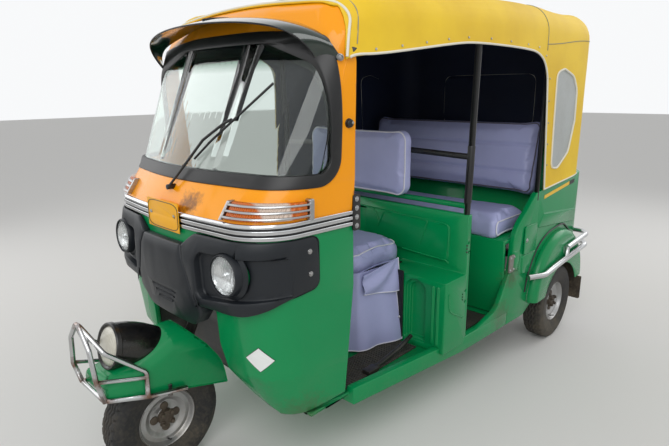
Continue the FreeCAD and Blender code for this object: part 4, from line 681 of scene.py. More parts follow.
patch_white = plain("patch_white", "E9ECEA", 0.35, 0.05)
patch_yellow = plain("patch_yellow", "F2C21A", 0.3, 0.1)
cowl, quarter = pressed["front_cowl_lower"], pressed["quarter_left"]
_, seat, facing, _ = cowl.closest_point_on_mesh(at(395, 152, 507))
across = Vector((0, 0, 1)).cross(facing).normalized() * 1.05
rising = facing.cross(across).normalized() * 0.92
for size, paint, lift, word in ((0.050, black_paint, 0.0008, "edge"), (0.0475, patch_white, 0.0016, "field")):
    tips = ((seat + across * size, seat + rising * size), (seat - rising * size, seat - across * size))
    laid_patch("blank_diamond_" + word, cowl, tips, 8, 8, paint, lift)
laid_patch("quarter_strip", quarter, ((at(610, 1776, 826), at(610, 2090, 857)),
                                      (at(610, 1776, 808), at(610, 2090, 839))), 24, 2, patch_yellow)
laid_patch("quarter_strip_end", quarter, ((at(610, 2092, 857), at(610, 2160, 863)),
                                          (at(610, 2092, 836), at(610, 2160, 843))), 8, 2, black_paint)


# Dash and steering head. A plain dark moulding hangs behind the screen; the head tube and the
# black inner arch behind the cowl's two lobes are welded steel. The arch's black is partly painted
# shade: it also stands in for the shade that fills the inside of the arch under the cowl.
dressed("dash_panel", dark_plastic, 0.004)
dressed("head_tube", black_paint, 0.001)
# Painted shade in part: the inner arch's near-black paint also darkens it as the shade under the cowl would.
dressed("wheel_house", black_paint, 0.001)


# Headlamps. A bright bowl and a glass dome with fine upright flutes sit in a thin dark rim,
# set deep in the face panel on each side.
def turned(name, profile, centre, axis, material, steps=64, body="root", smooth=35):
    """A body of revolution: points (along the axis, out from it) in mm, extruded and spun in edit mode."""
    axis = Vector(axis).normalized()
    side = axis.orthogonal().normalized()
    points = [centre + axis * (along / 1000) + side * (out / 1000) for along, out in profile]
    piece = begun(name, bpy.ops.mesh.primitive_plane_add, size=0.01)
    picking(points=True)
    with editing():
        bpy.ops.mesh.merge(type="CENTER")
        bpy.ops.transform.translate(value=points[0])
        for start, end in zip(points, points[1:]):
            bpy.ops.mesh.extrude_region_move(TRANSFORM_OT_translate={"value": end - start})
        bpy.ops.mesh.select_all(action="SELECT")
        bpy.ops.mesh.spin(steps=steps, angle=2 * math.pi, center=centre, axis=axis)
        bpy.ops.mesh.select_all(action="SELECT")
        bpy.ops.mesh.remove_doubles(threshold=0.00001)
        bpy.ops.mesh.normals_make_consistent(inside=False)
    rounded_by_angle(smooth)
    return issued(piece, material, body)


def waved(material, axis, pitch, strength, depth):
    """Adds ribs across an object axis to a material's relief: one rib each pitch, in metres."""
    tree = material.node_tree
    turns = arithmetic(tree, "MULTIPLY", object_axis(tree, axis), 2 * math.pi / pitch)
    raised_by(tree, arithmetic(tree, "SINE", turns, 0), strength, depth)


SIDES = ((1, "left"), (-1, "right"))
lamp_glass = clear("lamp_glass", "F4F6F4", 0.03, 0.85, 1.35, 0.03)
waved(lamp_glass, "X", 0.009, 0.5, 0.0012)
lamp_bowl_metal = finish("lamp_bowl_metal", "E4E6E8", 0.12, 0.0, 1.0, (200.0, 30.0, 0.4), 0.03, 0.0005, 0.02,
                         Metallic=1.0)
for side, word in SIDES:
    seat = at(side * 336, 96.5, 796)
    way = (side * 0.06, -1, 0.04)
    dome = [(22 + 14 * (1 - (r / 60) ** 2), r) for r in (60, 55, 48, 40, 30, 20, 10, 0)]
    lens = turned("headlamp_lens_" + word, [(19, 61)] + dome, seat, way, lamp_glass)
    bowl = [(20, 60.5), (16, 55), (12, 47), (8, 36), (5, 24), (3.5, 12), (3.5, 7), (13, 6.5), (15, 4),
            (16, 0)]
    turned("headlamp_bowl_" + word, bowl, seat, way, lamp_bowl_metal)
    rim = [(-6, 62), (20, 62), (24, 60.5), (27, 61.5), (27.5, 64), (24, 66.5), (14, 67.5), (2, 69), (-5, 82),
           (-8, 82), (-6, 62)]
    turned("headlamp_rim_" + word, rim, seat, way, dark_plastic)
    if word == "left":
        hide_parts("headlamps")


# Indicators. Ribbed amber lenses wrap the corners, with a clear zone at their outer end, behind
# guards of thin bright wire between two small brackets.
amber_lens = finish("amber_lens", "D86A06", 0.2, 0.05, 1.5, (200.0, 60.0, 0.5), 0.05, 0.0006, 0.05,
                    second="9A3A04", Specular_IOR_Level=0.3, Coat_Weight=0.2, Coat_Roughness=0.03)
banded(amber_lens, "Y", -0.885, -0.812, "D9CDBE", 0.85, 0.004)
waved(amber_lens, "X", 0.007, 0.7, 0.002)
dressed("indicator_lamps", amber_lens, 0.003)
dressed("indicator_guards", bright_steel, 0.0012)


# Number plate. A blank yellow sheet of thin steel with a black line pressed round its edge,
# held by two screws against the belt.
plate_yellow = finish("plate_yellow", "F3AF12", 0.4, 0.1, 1.5, (500.0, 20.0, 0.5), 0.08, 0.0006, 0.05)
plate = dressed("front_plate", plate_yellow, 0.0004)
fastened("plate_screws", plate, [at(side * 75, 60, 935) for side in (-1, 1)], 0.0045, 0.003, bright_steel,
         sides=16)
plate_low, plate_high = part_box("front_plate")
MARGIN = 0.005
(left, face_y, foot), (right, _, head) = plate_low, plate_high
left, right, foot, head = left + MARGIN, right - MARGIN, foot + MARGIN, head - MARGIN
half_way = 0.5 * (plate_low[2] + plate_high[2])
rim_line = [Vector((x, face_y - 0.0004, z)) for x, z in (
    (left, foot), (0, foot), (right, foot), (right, half_way), (right, head), (0, head), (left, head),
    (left, half_way))]
beading("plate_bead", rim_line, 0.0012, black_paint, closed=True)


# Front mudguard. A smooth green pressing on the black steel fork turns with the wheel; on it are
# a black bullet lamp and a guard of bent bright tube, rusty where its joints are welded.
dressed("front_mudguard", green_paint, 0.006, angle=25, smooth=60)
dressed("front_fork", black_paint, 0.001)
dressed("steering_column", black_paint, 0.001)
dressed("handlebar_grips", black_rubber, 0.001)
RUST = [(at(0, -236, 637), 0.05, 0.7), (at(88, -207, 606), 0.04, 0.8), (at(97, -88, 357), 0.05, 0.85),
        (at(91, -225, 400), 0.05, 0.8), (at(93, -242, 474), 0.04, 0.85), (at(-93, -242, 474), 0.04, 0.85),
        (at(-91, -225, 400), 0.05, 0.8), (at(93, -86, 425), 0.04, 0.8), (at(105, 20, 334), 0.06, 0.7)]
guard_metal = finish("guard_metal", "CFD1D3", 0.16, 0.15, 0.8, (300.0, 40.0, 0.6), 0.08, 0.0008, 0.05,
                     second="8F8A84", spots=RUST, spot_colour="6E4222", Metallic=0.95)
dressed("mudguard_guard", guard_metal, 0)
housing_black = finish("housing_black", "0E0F11", 0.24, 0.12, 1.4, (500.0, 30.0, 0.5), 0.05, 0.0006, 0.04)
lamp_point = at(0, -165, 535)
back_way = (0, 1, -0.245)
shell = [(6, 64), (0, 70), (0, 74.5), (3, 77), (16, 78), (19, 75.5), (22, 75.5), (66, 76.4), (95, 73),
         (123, 67), (150, 59), (175, 51), (198, 39), (217, 28), (229, 16), (235, 7), (236, 0)]
housing = turned("bullet_lamp", shell, lamp_point, back_way, housing_black, 48, "steering",
                 smooth=30)
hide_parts("mudguard_lamp")
lens_face = [(7, 64), (2, 60), (-2, 50), (-5, 36), (-7, 20), (-8, 0)]
cream_lens = finish("cream_lens", "D8D4C4", 0.08, 0.1, 1.2, (200.0, 30.0, 0.5), 0.05, 0.0006, 0.04,
                    Coat_Weight=1.0, Coat_Roughness=0.02)
waved(cream_lens, "X", 0.008, 0.6, 0.0015)
turned("bullet_lens", lens_face, lamp_point, back_way, cream_lens, 48, "steering")


# Wheels. Each tyre is a moulded carcass with zig-zag grooves round its tread; the pressed silver
# rim carries a dark hub with four nuts and a short valve.
tyre_rubber = finish("tyre_rubber", "1B1B1C", 0.66, 0.5, 0.5, (350.0, 30.0, 0.6), 0.25, 0.001, 0.08)
rim_silver = finish("rim_silver", "B4B6B8", 0.3, 0.55, 0.42, (300.0, 25.0, 0.6), 0.08, 0.0008, 0.06,
                    second="77726A", Metallic=0.75)
hub_brown = finish("hub_brown", "38322D", 0.5, 0.5, 0.5, (300.0, 25.0, 0.6), 0.2, 0.001, 0.1, second="4B3A2C",
                   Metallic=0.3)
TYRE_RADIUS, HALF_TRACK, WHEELBASE = 203, 575, 2000  # mm
WHEELS = {"front_wheel": at(0, 0, TYRE_RADIUS), "rear_left_wheel": at(HALF_TRACK, WHEELBASE, TYRE_RADIUS),
          "rear_right_wheel": at(-HALF_TRACK, WHEELBASE, TYRE_RADIUS)}
flank = [  # (across, out) from the shoulder down to the bead and back up inside
    (45, 197), (49, 189), (52, 178), (53.6, 172), (54.2, 168), (53.2, 165), (53.4, 152), (52.2, 148),
    (50.5, 134), (47, 122), (43.5, 114), (41.5, 109), (38, 108.6), (37, 118), (40, 132), (43, 150),
    (43, 172), (38, 186), (20, 192), (0, 193)]
tread = [(w / 2, TYRE_RADIUS - 2.4 * (w / 82) ** 2) for w in range(-84, 85, 5)]
section = [(-w, r) for w, r in reversed(flank)] + tread + flank
REPEATS, GROOVE_DEPTH, GROOVE_LINES = 36, 8, (-17, 0, 17)  # zig-zags round the tyre; millimetres
pattern = turned("tyre_pattern", section, Vector((0, 0, 0)), (1, 0, 0), tyre_rubber, 6 * REPEATS)
for point in pattern.data.vertices:
    across = point.co.x * 1000
    reach = math.hypot(point.co.y, point.co.z) * 1000
    if reach > 198.5 and abs(across) < 43:
        phase = (math.atan2(point.co.z, point.co.y) / (2 * math.pi) * REPEATS) % 1
        zigzag = abs(2 * phase - 1) * 2 - 1
        groove = min(abs(across - line - 5 * zigzag) for line in GROOVE_LINES)
        shoulder_slot = abs(across) > 29 and (phase + (0.5 if across > 0 else 0)) % 1 < 0.17
        if groove < 2.6 or shoulder_slot:
            point.co.y *= (reach - GROOVE_DEPTH) / reach
            point.co.z *= (reach - GROOVE_DEPTH) / reach
for wheel, middle in WHEELS.items():
    tyre = bpy.data.objects.new(wheel + "_tyre_finished", pattern.data.copy())
    scene.collection.objects.link(tyre)
    tyre.data.transform(Matrix.Translation(middle))
    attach(tyre, wheel)
    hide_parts(wheel + "_tyre")
    side = -1 if middle.x < 0 else 1
    rim = dressed(wheel + "_rim", rim_silver, 0.001)
    rim.data.materials.append(hub_brown)
    for face in rim.data.polygons:
        offset = face.center - middle
        if math.hypot(offset.y, offset.z) < 0.060 and side * offset.x > 0.0165:
            face.material_index = 1
    nuts = [middle + Vector((side * 0.09, 0.042 * math.sin(a), 0.042 * math.cos(a)))
            for a in (math.radians(turn) for turn in (45, 135, 225, 315))]
    fastened(wheel + "_nuts", rim, nuts, 0.0085, 0.011, hub_brown, body=wheel, washer=1.3)
    valve = [middle + Vector((side * x, 0, -z)) for x, z in ((0.024, 0.090), (0.034, 0.088), (0.046, 0.082))]
    beading(wheel + "_valve", valve, 0.003, black_rubber, body=wheel)
bpy.data.objects.remove(pattern)


# Floor. Ribbed rubber mats lie in the tray, a folded flange closes it against the bench, and
# the brake pedal and the hand lever, both of black steel, stand on it.
mat_rubber = finish("mat_rubber", "35332F", 0.8, 0.5, 0.8, (300.0, 20.0, 0.5), 0.3, 0.001, 0.1)
waved(mat_rubber, "Y", 0.014, 1.0, 0.004)
dressed("floor_mats", mat_rubber, 0.001)
plated("floor_rear_flange", (-560, 1425, 262), (560, 1496, 270), 0, green_paint)
dressed("brake_pedal", black_paint, 0.001)
dressed("hand_lever", black_paint, 0.001)


# Seats. Foam pads in lavender-grey vinyl, stuffed until they crown, with white piping sewn
# along their edges; each is flat where it rests on its base.
vinyl = finish("vinyl", "ACB0DA", 0.45, 0.05, 2.0, (650.0, 28.0, 0.7), 0.2, 0.0010, 0.05, second="9498C2")
white_piping = plain("white_piping", "D9D9E4", 0.5, 0.05)
dark_piping = plain("dark_piping", "55505E", 0.5, 0.05)


def pad_block(name, size, radius_axis, corner, edge):
    """A block at the origin, its corners rounded about one axis and then its edges all round, in mm."""
    piece = begun(name, bpy.ops.mesh.primitive_cube_add, size=1)
    with editing():
        bpy.ops.transform.resize(value=[s / 1000 for s in size])
    pick_lines(piece, lambda a, b: abs((a - b).normalized()[radius_axis]) > 0.9)
    with editing(None):
        bpy.ops.mesh.bevel(offset=corner / 1000, segments=6)
    modified(piece, "BEVEL", width=edge / 1000, segments=4, limit_method="ANGLE",
             angle_limit=math.radians(40))
    return piece


FOAM_PRESSURE, SWELLING_FRAMES = 4.0, 20


def stuffed(piece, rest_side, voxel=0.007, cap=0.024):
    """Swells a block like foam under its cover. rest_side (axis, sign) stays flat on what carries it."""
    select_only(piece)
    piece.data.remesh_voxel_size = voxel
    bpy.ops.object.voxel_remesh()
    start = [point.co.copy() for point in piece.data.vertices]
    axis, sign = rest_side
    limit = max(sign * place[axis] for place in start) * sign
    cloth = piece.modifiers.new("stuffing", "CLOTH")
    cloth.settings.quality = 4
    cloth.settings.use_pressure = True
    cloth.settings.uniform_pressure_force = FOAM_PRESSURE
    cloth.settings.effector_weights.gravity = 0
    cloth.point_cache.frame_start = 1
    cloth.point_cache.frame_end = SWELLING_FRAMES
    for step in range(1, SWELLING_FRAMES + 1):
        scene.frame_set(step)
    bpy.ops.object.modifier_apply(modifier=cloth.name)
    scene.frame_set(1)
    for point, place in zip(piece.data.vertices, start):
        move = point.co - place
        if move.length > cap:
            move *= cap / move.length
        point.co = place + move
        if sign * point.co[axis] > sign * limit:
            point.co[axis] = limit
    modified(piece, "SUBSURF", levels=1, render_levels=1)
    bpy.ops.object.shade_smooth()


def placed(piece, matrix, node, material):
    """Sets a pad where it belongs and gives it its cover; it stands for a node of the construction."""
    piece.data.transform(matrix)
    coated(piece, material)
    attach(piece, "root")
    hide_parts(node)


def ring(half_a, half_b, corner, count=9):
    """Points round a rounded rectangle about the origin, anticlockwise."""
    points = []
    for turn_at, (sa, sb) in enumerate(((1, 1), (-1, 1), (-1, -1), (1, -1))):
        for step in range(count):
            angle = math.pi / 2 * (turn_at + step / (count - 1))
            points.append((sa * (half_a - corner) + corner * math.cos(angle),
                           sb * (half_b - corner) + corner * math.sin(angle)))
    return points


def dense(points, gap=0.03):
    """More points along a closed line, so that a bead laid on a curved pad follows it."""
    out = []
    for start, end in zip(points, points[1:] + points[:1]):
        pieces = max(1, round((end - start).length / gap))
        out += [start.lerp(end, step / pieces) for step in range(pieces)]
    return out


def sewn_bead(name, pad, points, material, radius=0.0032):
    """Piping laid all round a pad: each point moves to the pad's nearest surface."""
    line = [on_surface(pad, point, radius * 0.5) for point in dense(points)]
    beading(name, line, radius, material, closed=True)


CUSHION_Y, BACKREST_Z = 882.5, 1027  # mm, middles of the driver's cushion and backrest
cushion = pad_block("driver_cushion_pad", (590, 371, 92), 2, corner=75, edge=34)
stuffed(cushion, (2, -1))
placed(cushion, Matrix.Translation(at(0, CUSHION_Y, 637.5)), "driver_cushion", vinyl)
for word, z, cover, radius in (("", 716, white_piping, 0.0032), ("foot_", 592, vinyl, 0.003)):
    sewn_bead("driver_cushion_" + word + "piping", cushion,
              [at(a, CUSHION_Y + b, z) for a, b in ring(299, 188, 80)], cover, radius)
backrest = pad_block("driver_backrest_pad", (600, 50, 300), 1, corner=52, edge=12)
stuffed(backrest, (1, 1), cap=0.016)
placed(backrest, Matrix.Translation(at(0, 1074, BACKREST_Z)), "driver_backrest", vinyl)
sewn_bead("driver_backrest_piping", backrest,
          [at(a, 1036, BACKREST_Z + b) for a, b in ring(301, 151, 52)], white_piping)

passenger_cushion = pad_block("passenger_cushion_pad", (1090, 336, 92), 2, corner=40, edge=30)
stuffed(passenger_cushion, (2, -1), voxel=0.009)
placed(passenger_cushion, Matrix.Translation(at(0, 1587, 702)), "passenger_cushion", vinyl)
for side, word in SIDES:
    sewn_bead("passenger_cushion_piping_" + word, passenger_cushion,
              [at(side * 556, 1587 + a, 706 + b) for a, b in ring(160, 46, 40)], white_piping, 0.0036)
back_lean = Matrix.Translation(at(0, 1763 + 55 + 44, 785 + 205)) @ Matrix.Rotation(math.radians(-12), 4, "X")
passenger_back = pad_block("passenger_back_pad", (1096, 84, 398), 1, corner=46, edge=24)
stuffed(passenger_back, (1, 1), voxel=0.009)
for point in passenger_back.data.vertices:
    if point.co.y < 0 and abs(point.co.x) < 0.53:
        for height in (-0.075, 0.06):
            point.co.y += 0.007 * math.exp(-((point.co.z - height) / 0.007) ** 2)
placed(passenger_back, back_lean, "passenger_backrest", vinyl)
sewn_bead("passenger_back_piping", passenger_back,
          [back_lean @ Vector((a / 1000, -0.07, b / 1000)) for a, b in ring(545, 198, 46)], dark_piping)


# Driver's seat base. A box under a loose vinyl skirt that hangs from the cushion to the floor,
# hemmed with white piping, with a flap pocket on the door side and a black panel beside it.
dressed("driver_seat_base", black_paint, 0.003)
seat_panel = plated("seat_side_panel", (252, 937, 292), (372, 943, 596), 4, black_paint)
fastened("panel_screw", seat_panel, [at(352, 900, 382)], 0.006, 0.005, bright_steel)


SKIRT_TOP, SKIRT_DROP = 622, 338  # height of the skirt's upper edge and how far it hangs, in mm
SKIRT_CORNERS = [  # (x, y) of the skirt's upper edge and of its hem
    ((-322, 934), (-336, 938)), ((-300, 730), (-304, 728)), ((-268, 700), (-272, 690)),
    ((268, 700), (272, 690)), ((300, 730), (306, 728)), ((322, 934), (360, 944))]
SKIRT_SPANS = [205, 44, 536, 44, 205]


def skirt_spot(u, v):
    """A place on the skirt: u round from the right hand side over the front to the door side, v down."""
    run = u * sum(SKIRT_SPANS)
    for index, span in enumerate(SKIRT_SPANS):
        if run <= span or index == len(SKIRT_SPANS) - 1:
            break
        run -= span
    share = run / span
    (ax, ay), (bx, by) = (Vector(top).lerp(Vector(hem), v) for top, hem in SKIRT_CORNERS[index:index + 2])
    x, y = ax + (bx - ax) * share, ay + (by - ay) * share
    flow = Vector((bx - ax, by - ay, 0)).normalized()
    out = Vector((flow.y, -flow.x, 0))
    fold = (4 + 9 * v) * (math.sin(u * 46 + 1.2 * math.sin(u * 9)) * 0.5 + 0.5) * (0.25 + 0.75 * v)
    fold += 3 * noise.noise(Vector((u * 14, v * 4, 0.3)))
    return at(x + out.x * fold, y + out.y * fold, SKIRT_TOP - SKIRT_DROP * v)


skirt = woven_sheet("seat_skirt", 150, 20, 0.002, skirt_spot)
coated(skirt, vinyl)
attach(skirt, "root")
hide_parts("driver_seat_base")
hem = beading("skirt_hem", [skirt_spot(i / 90, 1.0) for i in range(91)], 0.003, white_piping)
side_hem = beading("skirt_side_hem", [skirt_spot(1.0, i / 12) for i in range(1, 13)], 0.003, white_piping)


POCKET_FRONT, POCKET_LENGTH = 742, 206  # mm


def pocket_spot(u, v):
    """The flap pocket on the door side: gathered at its upper rear corner, its lower edge slack."""
    y = POCKET_FRONT + POCKET_LENGTH * u
    top, foot = 612 + 34 * u, 532 - 28 * u
    z = top + (foot - top) * v
    low = max(0.0, min(1.0, (SKIRT_TOP - z) / SKIRT_DROP))
    carry = 304 + u * (20 + 36 * low)
    angle = math.atan2(1 - u + 0.02, v + 0.02)
    fold = 8.0 * math.sin(angle * 9.0) * min(1.0, math.hypot(1 - u, v) * 1.3) * (0.5 + 0.5 * v)
    belly = 16 * math.sin(math.pi * min(1, v * 0.9)) * math.sin(math.pi * min(1.0, 0.15 + u * 0.8))
    return at(carry + 11 + belly * 0.6 + fold, y, z - 4 * math.sin(math.pi * u) * v)


pocket = issued(woven_sheet("seat_pocket", 40, 24, 0.0018, pocket_spot), vinyl, "root")
pocket_edge = [pocket_spot(i / 14, 1.0) for i in range(15)]
pocket_edge += [pocket_spot(1.0, 1 - i / 8) for i in range(1, 9)]
pocket_hem = beading("pocket_piping", pocket_edge, 0.0026, white_piping)


# Rear. Red lamps, a bumper of two bright tubes round each corner, worn rubber flaps, and under
# the lid the frame, the engine and the trailing arms.
red_lens = finish("red_lens", "9E0A08", 0.15, 0.15, 1.2, (200.0, 60.0, 0.5), 0.05, 0.0006, 0.05,
                  Coat_Weight=0.8, Coat_Roughness=0.03)
waved(red_lens, "X", 0.008, 0.6, 0.0015)
dressed("tail_lamps", red_lens, 0.003)
dressed("rear_bumper", guard_metal, 0)
flap_rubber = finish("flap_rubber", "221E1A", 0.85, 0.9, 0.7, (300.0, 30.0, 0.7), 0.35, 0.0015, 0.1,
                     second="4A3A28")
dressed("mud_flaps", flap_rubber, 0.001)
dressed("rear_frame", black_paint, 0.001)
grey_iron = finish("grey_iron", "4B4A48", 0.7, 0.6, 0.9, (250.0, 30.0, 0.7), 0.3, 0.0015, 0.1)
dressed("engine_block", grey_iron, 0.004)
dressed("rear_arms", black_paint, 0.001)
seam = [(1640, 356), (1646, 400), (1664, 460), (1700, 520), (1748, 568), (1810, 602), (1880, 622),
        (1960, 630), (2050, 622), (2120, 596), (2180, 556), (2225, 505)]
for side, word in SIDES:
    line = [on_surface(pressed["quarter_" + word], at(side * 640, y, z), 0.001) for y, z in seam]
    beading("fender_seam_" + word, line, 0.0045, black_rubber)


# Hood. One yellow canvas with a dark lining is stretched over the bows of a tube frame; it sags
# a little between them and is piped white round its openings, with clouded windows sewn in.
def rounded_outline(corners, steps=6):
    """Corner points (a, b, radius) of a closed outline with each corner rounded."""
    out = []
    count = len(corners)
    for index, (a, b, radius) in enumerate(corners):
        here = Vector((a, b))
        before = (Vector(corners[index - 1][:2]) - here)
        after = (Vector(corners[(index + 1) % count][:2]) - here)
        if not radius:
            out.append(here)
            continue
        opening = before.angle(after)
        reach = min(radius / math.tan(opening / 2), before.length * 0.48, after.length * 0.48)
        start, end = here + before.normalized() * reach, here + after.normalized() * reach
        for step in range(steps + 1):
            share = step / steps
            out.append(start.lerp(here, share).lerp(here.lerp(end, share), share))
    return out


def cutter(outline, axis, low, high):
    """A prism through an outline in mm: (y, z) points across the vehicle, or (x, z) points along it."""
    tool = begun("cutter", bpy.ops.mesh.primitive_circle_add, vertices=len(outline), radius=1,
                 fill_type="NGON")
    for point, (a, b) in zip(tool.data.vertices, outline):
        point.co = at(low, a, b) if axis == "x" else at(a, low, b)
    way = Vector((high - low, 0, 0)) / 1000 if axis == "x" else Vector((0, high - low, 0)) / 1000
    with editing():
        bpy.ops.mesh.extrude_region_move(TRANSFORM_OT_translate={"value": way})
        bpy.ops.mesh.select_all(action="SELECT")
        bpy.ops.mesh.normals_make_consistent(inside=False)
    return tool


HOOD_ROWS = [  # place along, half width, crown height, in mm
    (418, 532, 1630), (900, 580, 1670), (1500, 606, 1704), (2262, 606, 1700)]
WIDEST = 606
SHOULDER, ROOF = 1480, 1704  # heights where the crown's rise begins and where it ends, before shaping
BOWS = (418, 1112, 1706, 2120, 2262)  # places of the bows, and how far the roof sags after each
SAGS = (6, 8, 12, 3)


def along_rows(y, column):
    """The hood's half width or crown at a place along the vehicle, on a smooth line through its rows."""
    y = max(HOOD_ROWS[0][0], min(HOOD_ROWS[-1][0], y))
    for index in range(3):
        if y <= HOOD_ROWS[index + 1][0]:
            break
    near, far = HOOD_ROWS[index], HOOD_ROWS[index + 1]
    before, after = HOOD_ROWS[max(0, index - 1)], HOOD_ROWS[min(3, index + 2)]
    span = far[0] - near[0]
    slope_in = (far[column] - before[column]) / (far[0] - before[0]) * span
    slope_out = (after[column] - near[column]) / (after[0] - near[0]) * span
    if index == 2:
        slope_out = slope_in = 0.0 if column == 1 else slope_out
    if index == 1 and column == 1:
        slope_out = 0.0
    t = (y - near[0]) / span
    return ((2 * t ** 3 - 3 * t ** 2 + 1) * near[column] + (t ** 3 - 2 * t ** 2 + t) * slope_in
            + (3 * t ** 2 - 2 * t ** 3) * far[column] + (t ** 3 - t ** 2) * slope_out)


def rounds_off(a, b):
    """The hood block's rear uprights and the edges of its roof, apart from the front one."""
    upright_back = min(a.y, b.y) > at(0, 2255, 0).y and abs(a.z - b.z) > 0.5
    return upright_back or (min(a.z, b.z) > 1.70 and max(a.y, b.y) > at(0, 425, 0).y)


hood = begun("hood", bpy.ops.mesh.primitive_cube_add, size=1)
with editing():
    bpy.ops.transform.resize(value=(1.212, 1.844, 0.904))
    bpy.ops.transform.translate(value=at(0, 1340, 1252))
pick_lines(hood, rounds_off)
with editing(None):
    bpy.ops.mesh.bevel(offset=0.130, segments=9)
picking(faces=True)
for face in hood.data.polygons:
    face.select = face.normal.y < -0.99 or face.normal.z < -0.99
with editing(None):
    bpy.ops.mesh.delete(type="FACE")
    for axis, first, last, step in (("y", 430, 2250, 55), ("x", -560, 560, 70), ("z", 860, 1690, 60)):
        for place in range(first, last, step):
            bpy.ops.mesh.select_all(action="SELECT")
            co = at(*(place if axis == name else 0 for name in "xyz"))
            bpy.ops.mesh.bisect(plane_co=co, plane_no=[1.0 if axis == name else 0.0 for name in "xyz"])
for point in hood.data.vertices:
    x, y, z = point.co.x * 1000, (point.co.y + FRONT_AXLE) * 1000, point.co.z * 1000
    spread = along_rows(y, 1) / WIDEST
    crown = along_rows(y, 2)
    if z > SHOULDER:
        z = SHOULDER + (z - SHOULDER) * (crown - SHOULDER) / (ROOF - SHOULDER)
    roof = max(0.0, min(1.0, (z - crown + 60) / 55))
    for near, far, sag in zip(BOWS, BOWS[1:], SAGS):
        if near <= y <= far:
            z -= sag * math.sin(math.pi * (y - near) / (far - near)) * roof * (1 - abs(x / 700) ** 3)
    z += 3.5 * math.exp(-((y - BOWS[3]) / 28) ** 2) * roof
    flank_share = max(0.0, min(1.0, (abs(x) - 560) / 30)) * max(0.0, min(1.0, (1560 - z) / 80))
    ripple = 1.6 * (1 + noise.noise(Vector((x * 0.002, y * 0.006, z * 0.004)))) * flank_share
    point.co = at(x * spread + math.copysign(ripple, x), y, z)
    if y < 530 and z > 1440:
        _, seat, normal, _ = upper_cowl.closest_point_on_mesh(point.co)
        if (seat - point.co).length < 0.07:
            hold = min(1.0, (530 - y) / 100)
            hold = hold * hold * (3 - 2 * hold)
            point.co = point.co.lerp(seat + (point.co - seat).normalized() * 0.0065, hold)
select_only(hood)
canvas = finish("canvas", "F2CB24", 0.62, 0.05, 2.5, (1100.0, 14.0, 1.2), 0.25, 0.0012, 0.06, second="D3A513")
lining = finish("lining", "1C2643", 0.7, 0.05, 2.5, (900.0, 18.0, 0.8), 0.2, 0.001, 0.1)
coated(hood, canvas, lining)
with editing():
    bpy.ops.mesh.normals_make_consistent(inside=False)
roof_faces = [face for face in hood.data.polygons if face.center.z > 1.6 and abs(face.center.x) < 0.3]
if sum(face.normal.z for face in roof_faces) < 0:
    with editing():
        bpy.ops.mesh.flip_normals()
modified(hood, "SOLIDIFY", thickness=0.004, offset=-1.0, material_offset=1)
# Outlines of the cuts, as (along, up, corner radius) or for the rear window (across, up, corner radius).
FRONT_CORNER = [(438, 1432, 100), (358, 1400, 0), (358, 780, 0)]
DOOR = [(1742, 780, 0), (1742, 858, 0), (1680, 1362, 0), (1642, 1446, 60), (1552, 1492, 80),
        (1036, 1505, 300)] + FRONT_CORNER
CAB_DOOR = [(1058, 780, 0), (1078, 1440, 60), (960, 1505, 100)] + FRONT_CORNER
HEM = [(318, 700, 0), (2362, 700, 0), (2362, 898, 0), (1742, 858, 0), (318, 848, 0)]
PANE = [(1800, 960, 40), (1775, 1408, 40), (1860, 1428, 60), (1990, 1396, 90), (2046, 1320, 60),
        (2050, 1176, 60), (2000, 1022, 60), (1880, 952, 50)]
REAR_PANE = [(300, 1120, 50), (300, 1420, 50), (-300, 1420, 50), (-300, 1120, 50)]
for outline, axis, low, high in ((HEM, "x", -800, 800), (DOOR, "x", 40, 800), (CAB_DOOR, "x", -800, -40),
                                 (PANE, "x", -800, 800), (REAR_PANE, "y", 2180, 2340)):
    tool = cutter(rounded_outline(outline), axis, low, high)
    select_only(hood)
    modified(hood, "BOOLEAN", object=tool, operation="DIFFERENCE", solver="EXACT")
    bpy.data.objects.remove(tool)
rounded_by_angle(32)
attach(hood, "root")
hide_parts("hood_canvas", "hood_back", "hood_sides")
window_film = clear("window_film", "D9DEDC", 0.35, 0.35, 1.3, 0.25)
windows = dressed("hood_windows", window_film, 0)
windows.data.materials.append(lining)
for face in windows.data.polygons:
    inward = face.normal.y < -0.5 if face.center.y > at(0, 2200, 0).y else face.normal.x * face.center.x < 0
    if inward and abs(face.normal.z) < 0.5:
        face.material_index = 1
hood_frame = dressed("hood_frame", black_paint, 0)
hood_frame.data.materials.append(green_paint)
for face in hood_frame.data.polygons:
    if face.center.z < 0.890 and face.center.y < at(0, 1300, 0).y:
        face.material_index = 1
for side, word in SIDES:
    sleeve = [(0, 11.5), (0, 14), (3, 15), (228, 15), (232, 14), (232, 11.5)]
    turned("pole_sleeve_" + word, sleeve, at(side * 557.3, 1112, 888), (side * 13.6, 0, 700), black_paint,
           28)
white_cord = plain("white_cord", "E6E2D2", 0.55, 0.1)
stitch_grey = plain("stitch_grey", "8C8A80", 0.7, 0.1)


def sewn(name, points, radius, material, closed=False):
    """A cord or a seam along places in mm, laid on the hood and carried by it."""
    line = [on_surface(hood, at(*point), 0.001) for point in points]
    beading(name, line, radius, material, closed=closed)


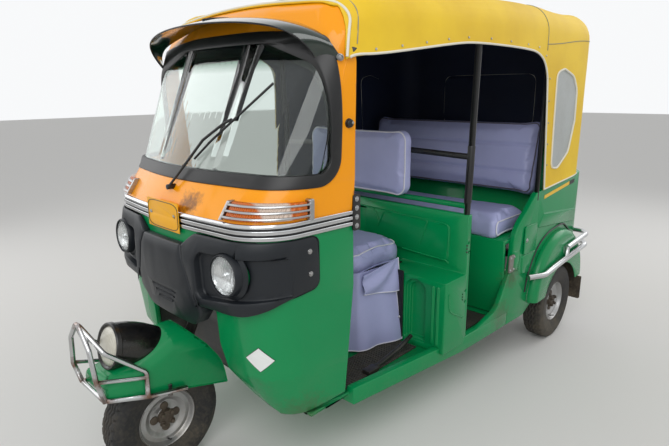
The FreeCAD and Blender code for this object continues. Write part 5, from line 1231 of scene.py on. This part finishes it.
door_line = [(1742, 862), (1712, 1110), (1680, 1362), (1664, 1404), (1642, 1440), (1606, 1468),
             (1552, 1488), (1480, 1497), (1300, 1502), (1036, 1504), (900, 1491), (700, 1465),
             (520, 1442), (438, 1432), (422, 1424)]
sewn("door_piping", [(640, y, z) for y, z in door_line], 0.0042, white_cord)
cab_line = [(1060, 866), (1068, 1110), (1076, 1380), (1060, 1446), (1020, 1480), (960, 1496), (800, 1479),
            (600, 1453), (438, 1432), (422, 1424)]
sewn("cab_piping", [(-640, y, z) for y, z in cab_line], 0.0042, white_cord)
half_arch = [(-560, 1520), (-545, 1580), (-500, 1625), (-430, 1650), (-300, 1655), (-150, 1655),
             (0, 1655)]
for name, y, foot, radius, material in (("front_piping", 417, 1440, 0.0045, white_cord),
                                        ("front_seam", 455, 1472, 0.0016, stitch_grey)):
    half = [(x, y, z) for x, z in [(-560, foot)] + half_arch]
    sewn(name, mirrored_line(half), radius, material)
for side, word in SIDES:
    sewn("pane_edge_" + word, [(side * 640, p.x, p.y) for p in rounded_outline(PANE, 3)], 0.0050, white_cord,
         closed=True)
    hem_line = [(1748, 862), (1850, 868), (1950, 874), (2050, 880), (2130, 886), (2190, 890)]
    if side < 0:
        hem_line = [(1062, 866), (1180, 866), (1300, 865), (1450, 864), (1600, 863)] + hem_line
    sewn("hem_cord_" + word, [(side * 640, y, z) for y, z in hem_line], 0.0035, white_cord)
round_corner = [(476 + 160 * math.cos(math.radians(turn)), 160 * math.sin(math.radians(turn)))
                for turn in range(2, 90, 6)]
bow_half = ([(640, 1648, 1500), (640, 1648, 1540)] + [(x, 1648, 1574 + up) for x, up in round_corner]
            + [(x, 1648, 1800) for x in (450, 340, 220, 110)])
back_half = ([(640, 1646, 1527), (640, 1700, 1530), (640, 1800, 1538), (640, 1900, 1549), (640, 2000, 1560),
              (640, 2080, 1565)] + [(x, 2132 + back, 1567) for x, back in round_corner]
             + [(x, 2300, 1568) for x in (450, 340, 220, 110)])
for name, half, middle in (("bow_seam", bow_half, (0, 1648, 1800)),
                           ("roof_seam", back_half, (0, 2300, 1568))):
    sewn(name, mirrored_line(half + [middle]), 0.0016, stitch_grey)
sewn("rear_pane_edge", [(p.x, 2300, p.y) for p in rounded_outline(REAR_PANE, 4)], 0.0050, white_cord,
     closed=True)
studs = [at(640, y, z + 16) for y, z in (
    (520, 1442), (640, 1457), (760, 1473), (880, 1489), (1000, 1502), (1150, 1506), (1300, 1504),
    (1450, 1500), (1560, 1494), (1640, 1462))]
studs += [at(640, y, z) for y, z in ((1700, 1380), (1712, 1280), (1726, 1180), (1738, 1080), (1750, 980))]
fastened("hood_studs", hood, studs, 0.0042, 0.0022, bright_steel, sides=14, washer=0)
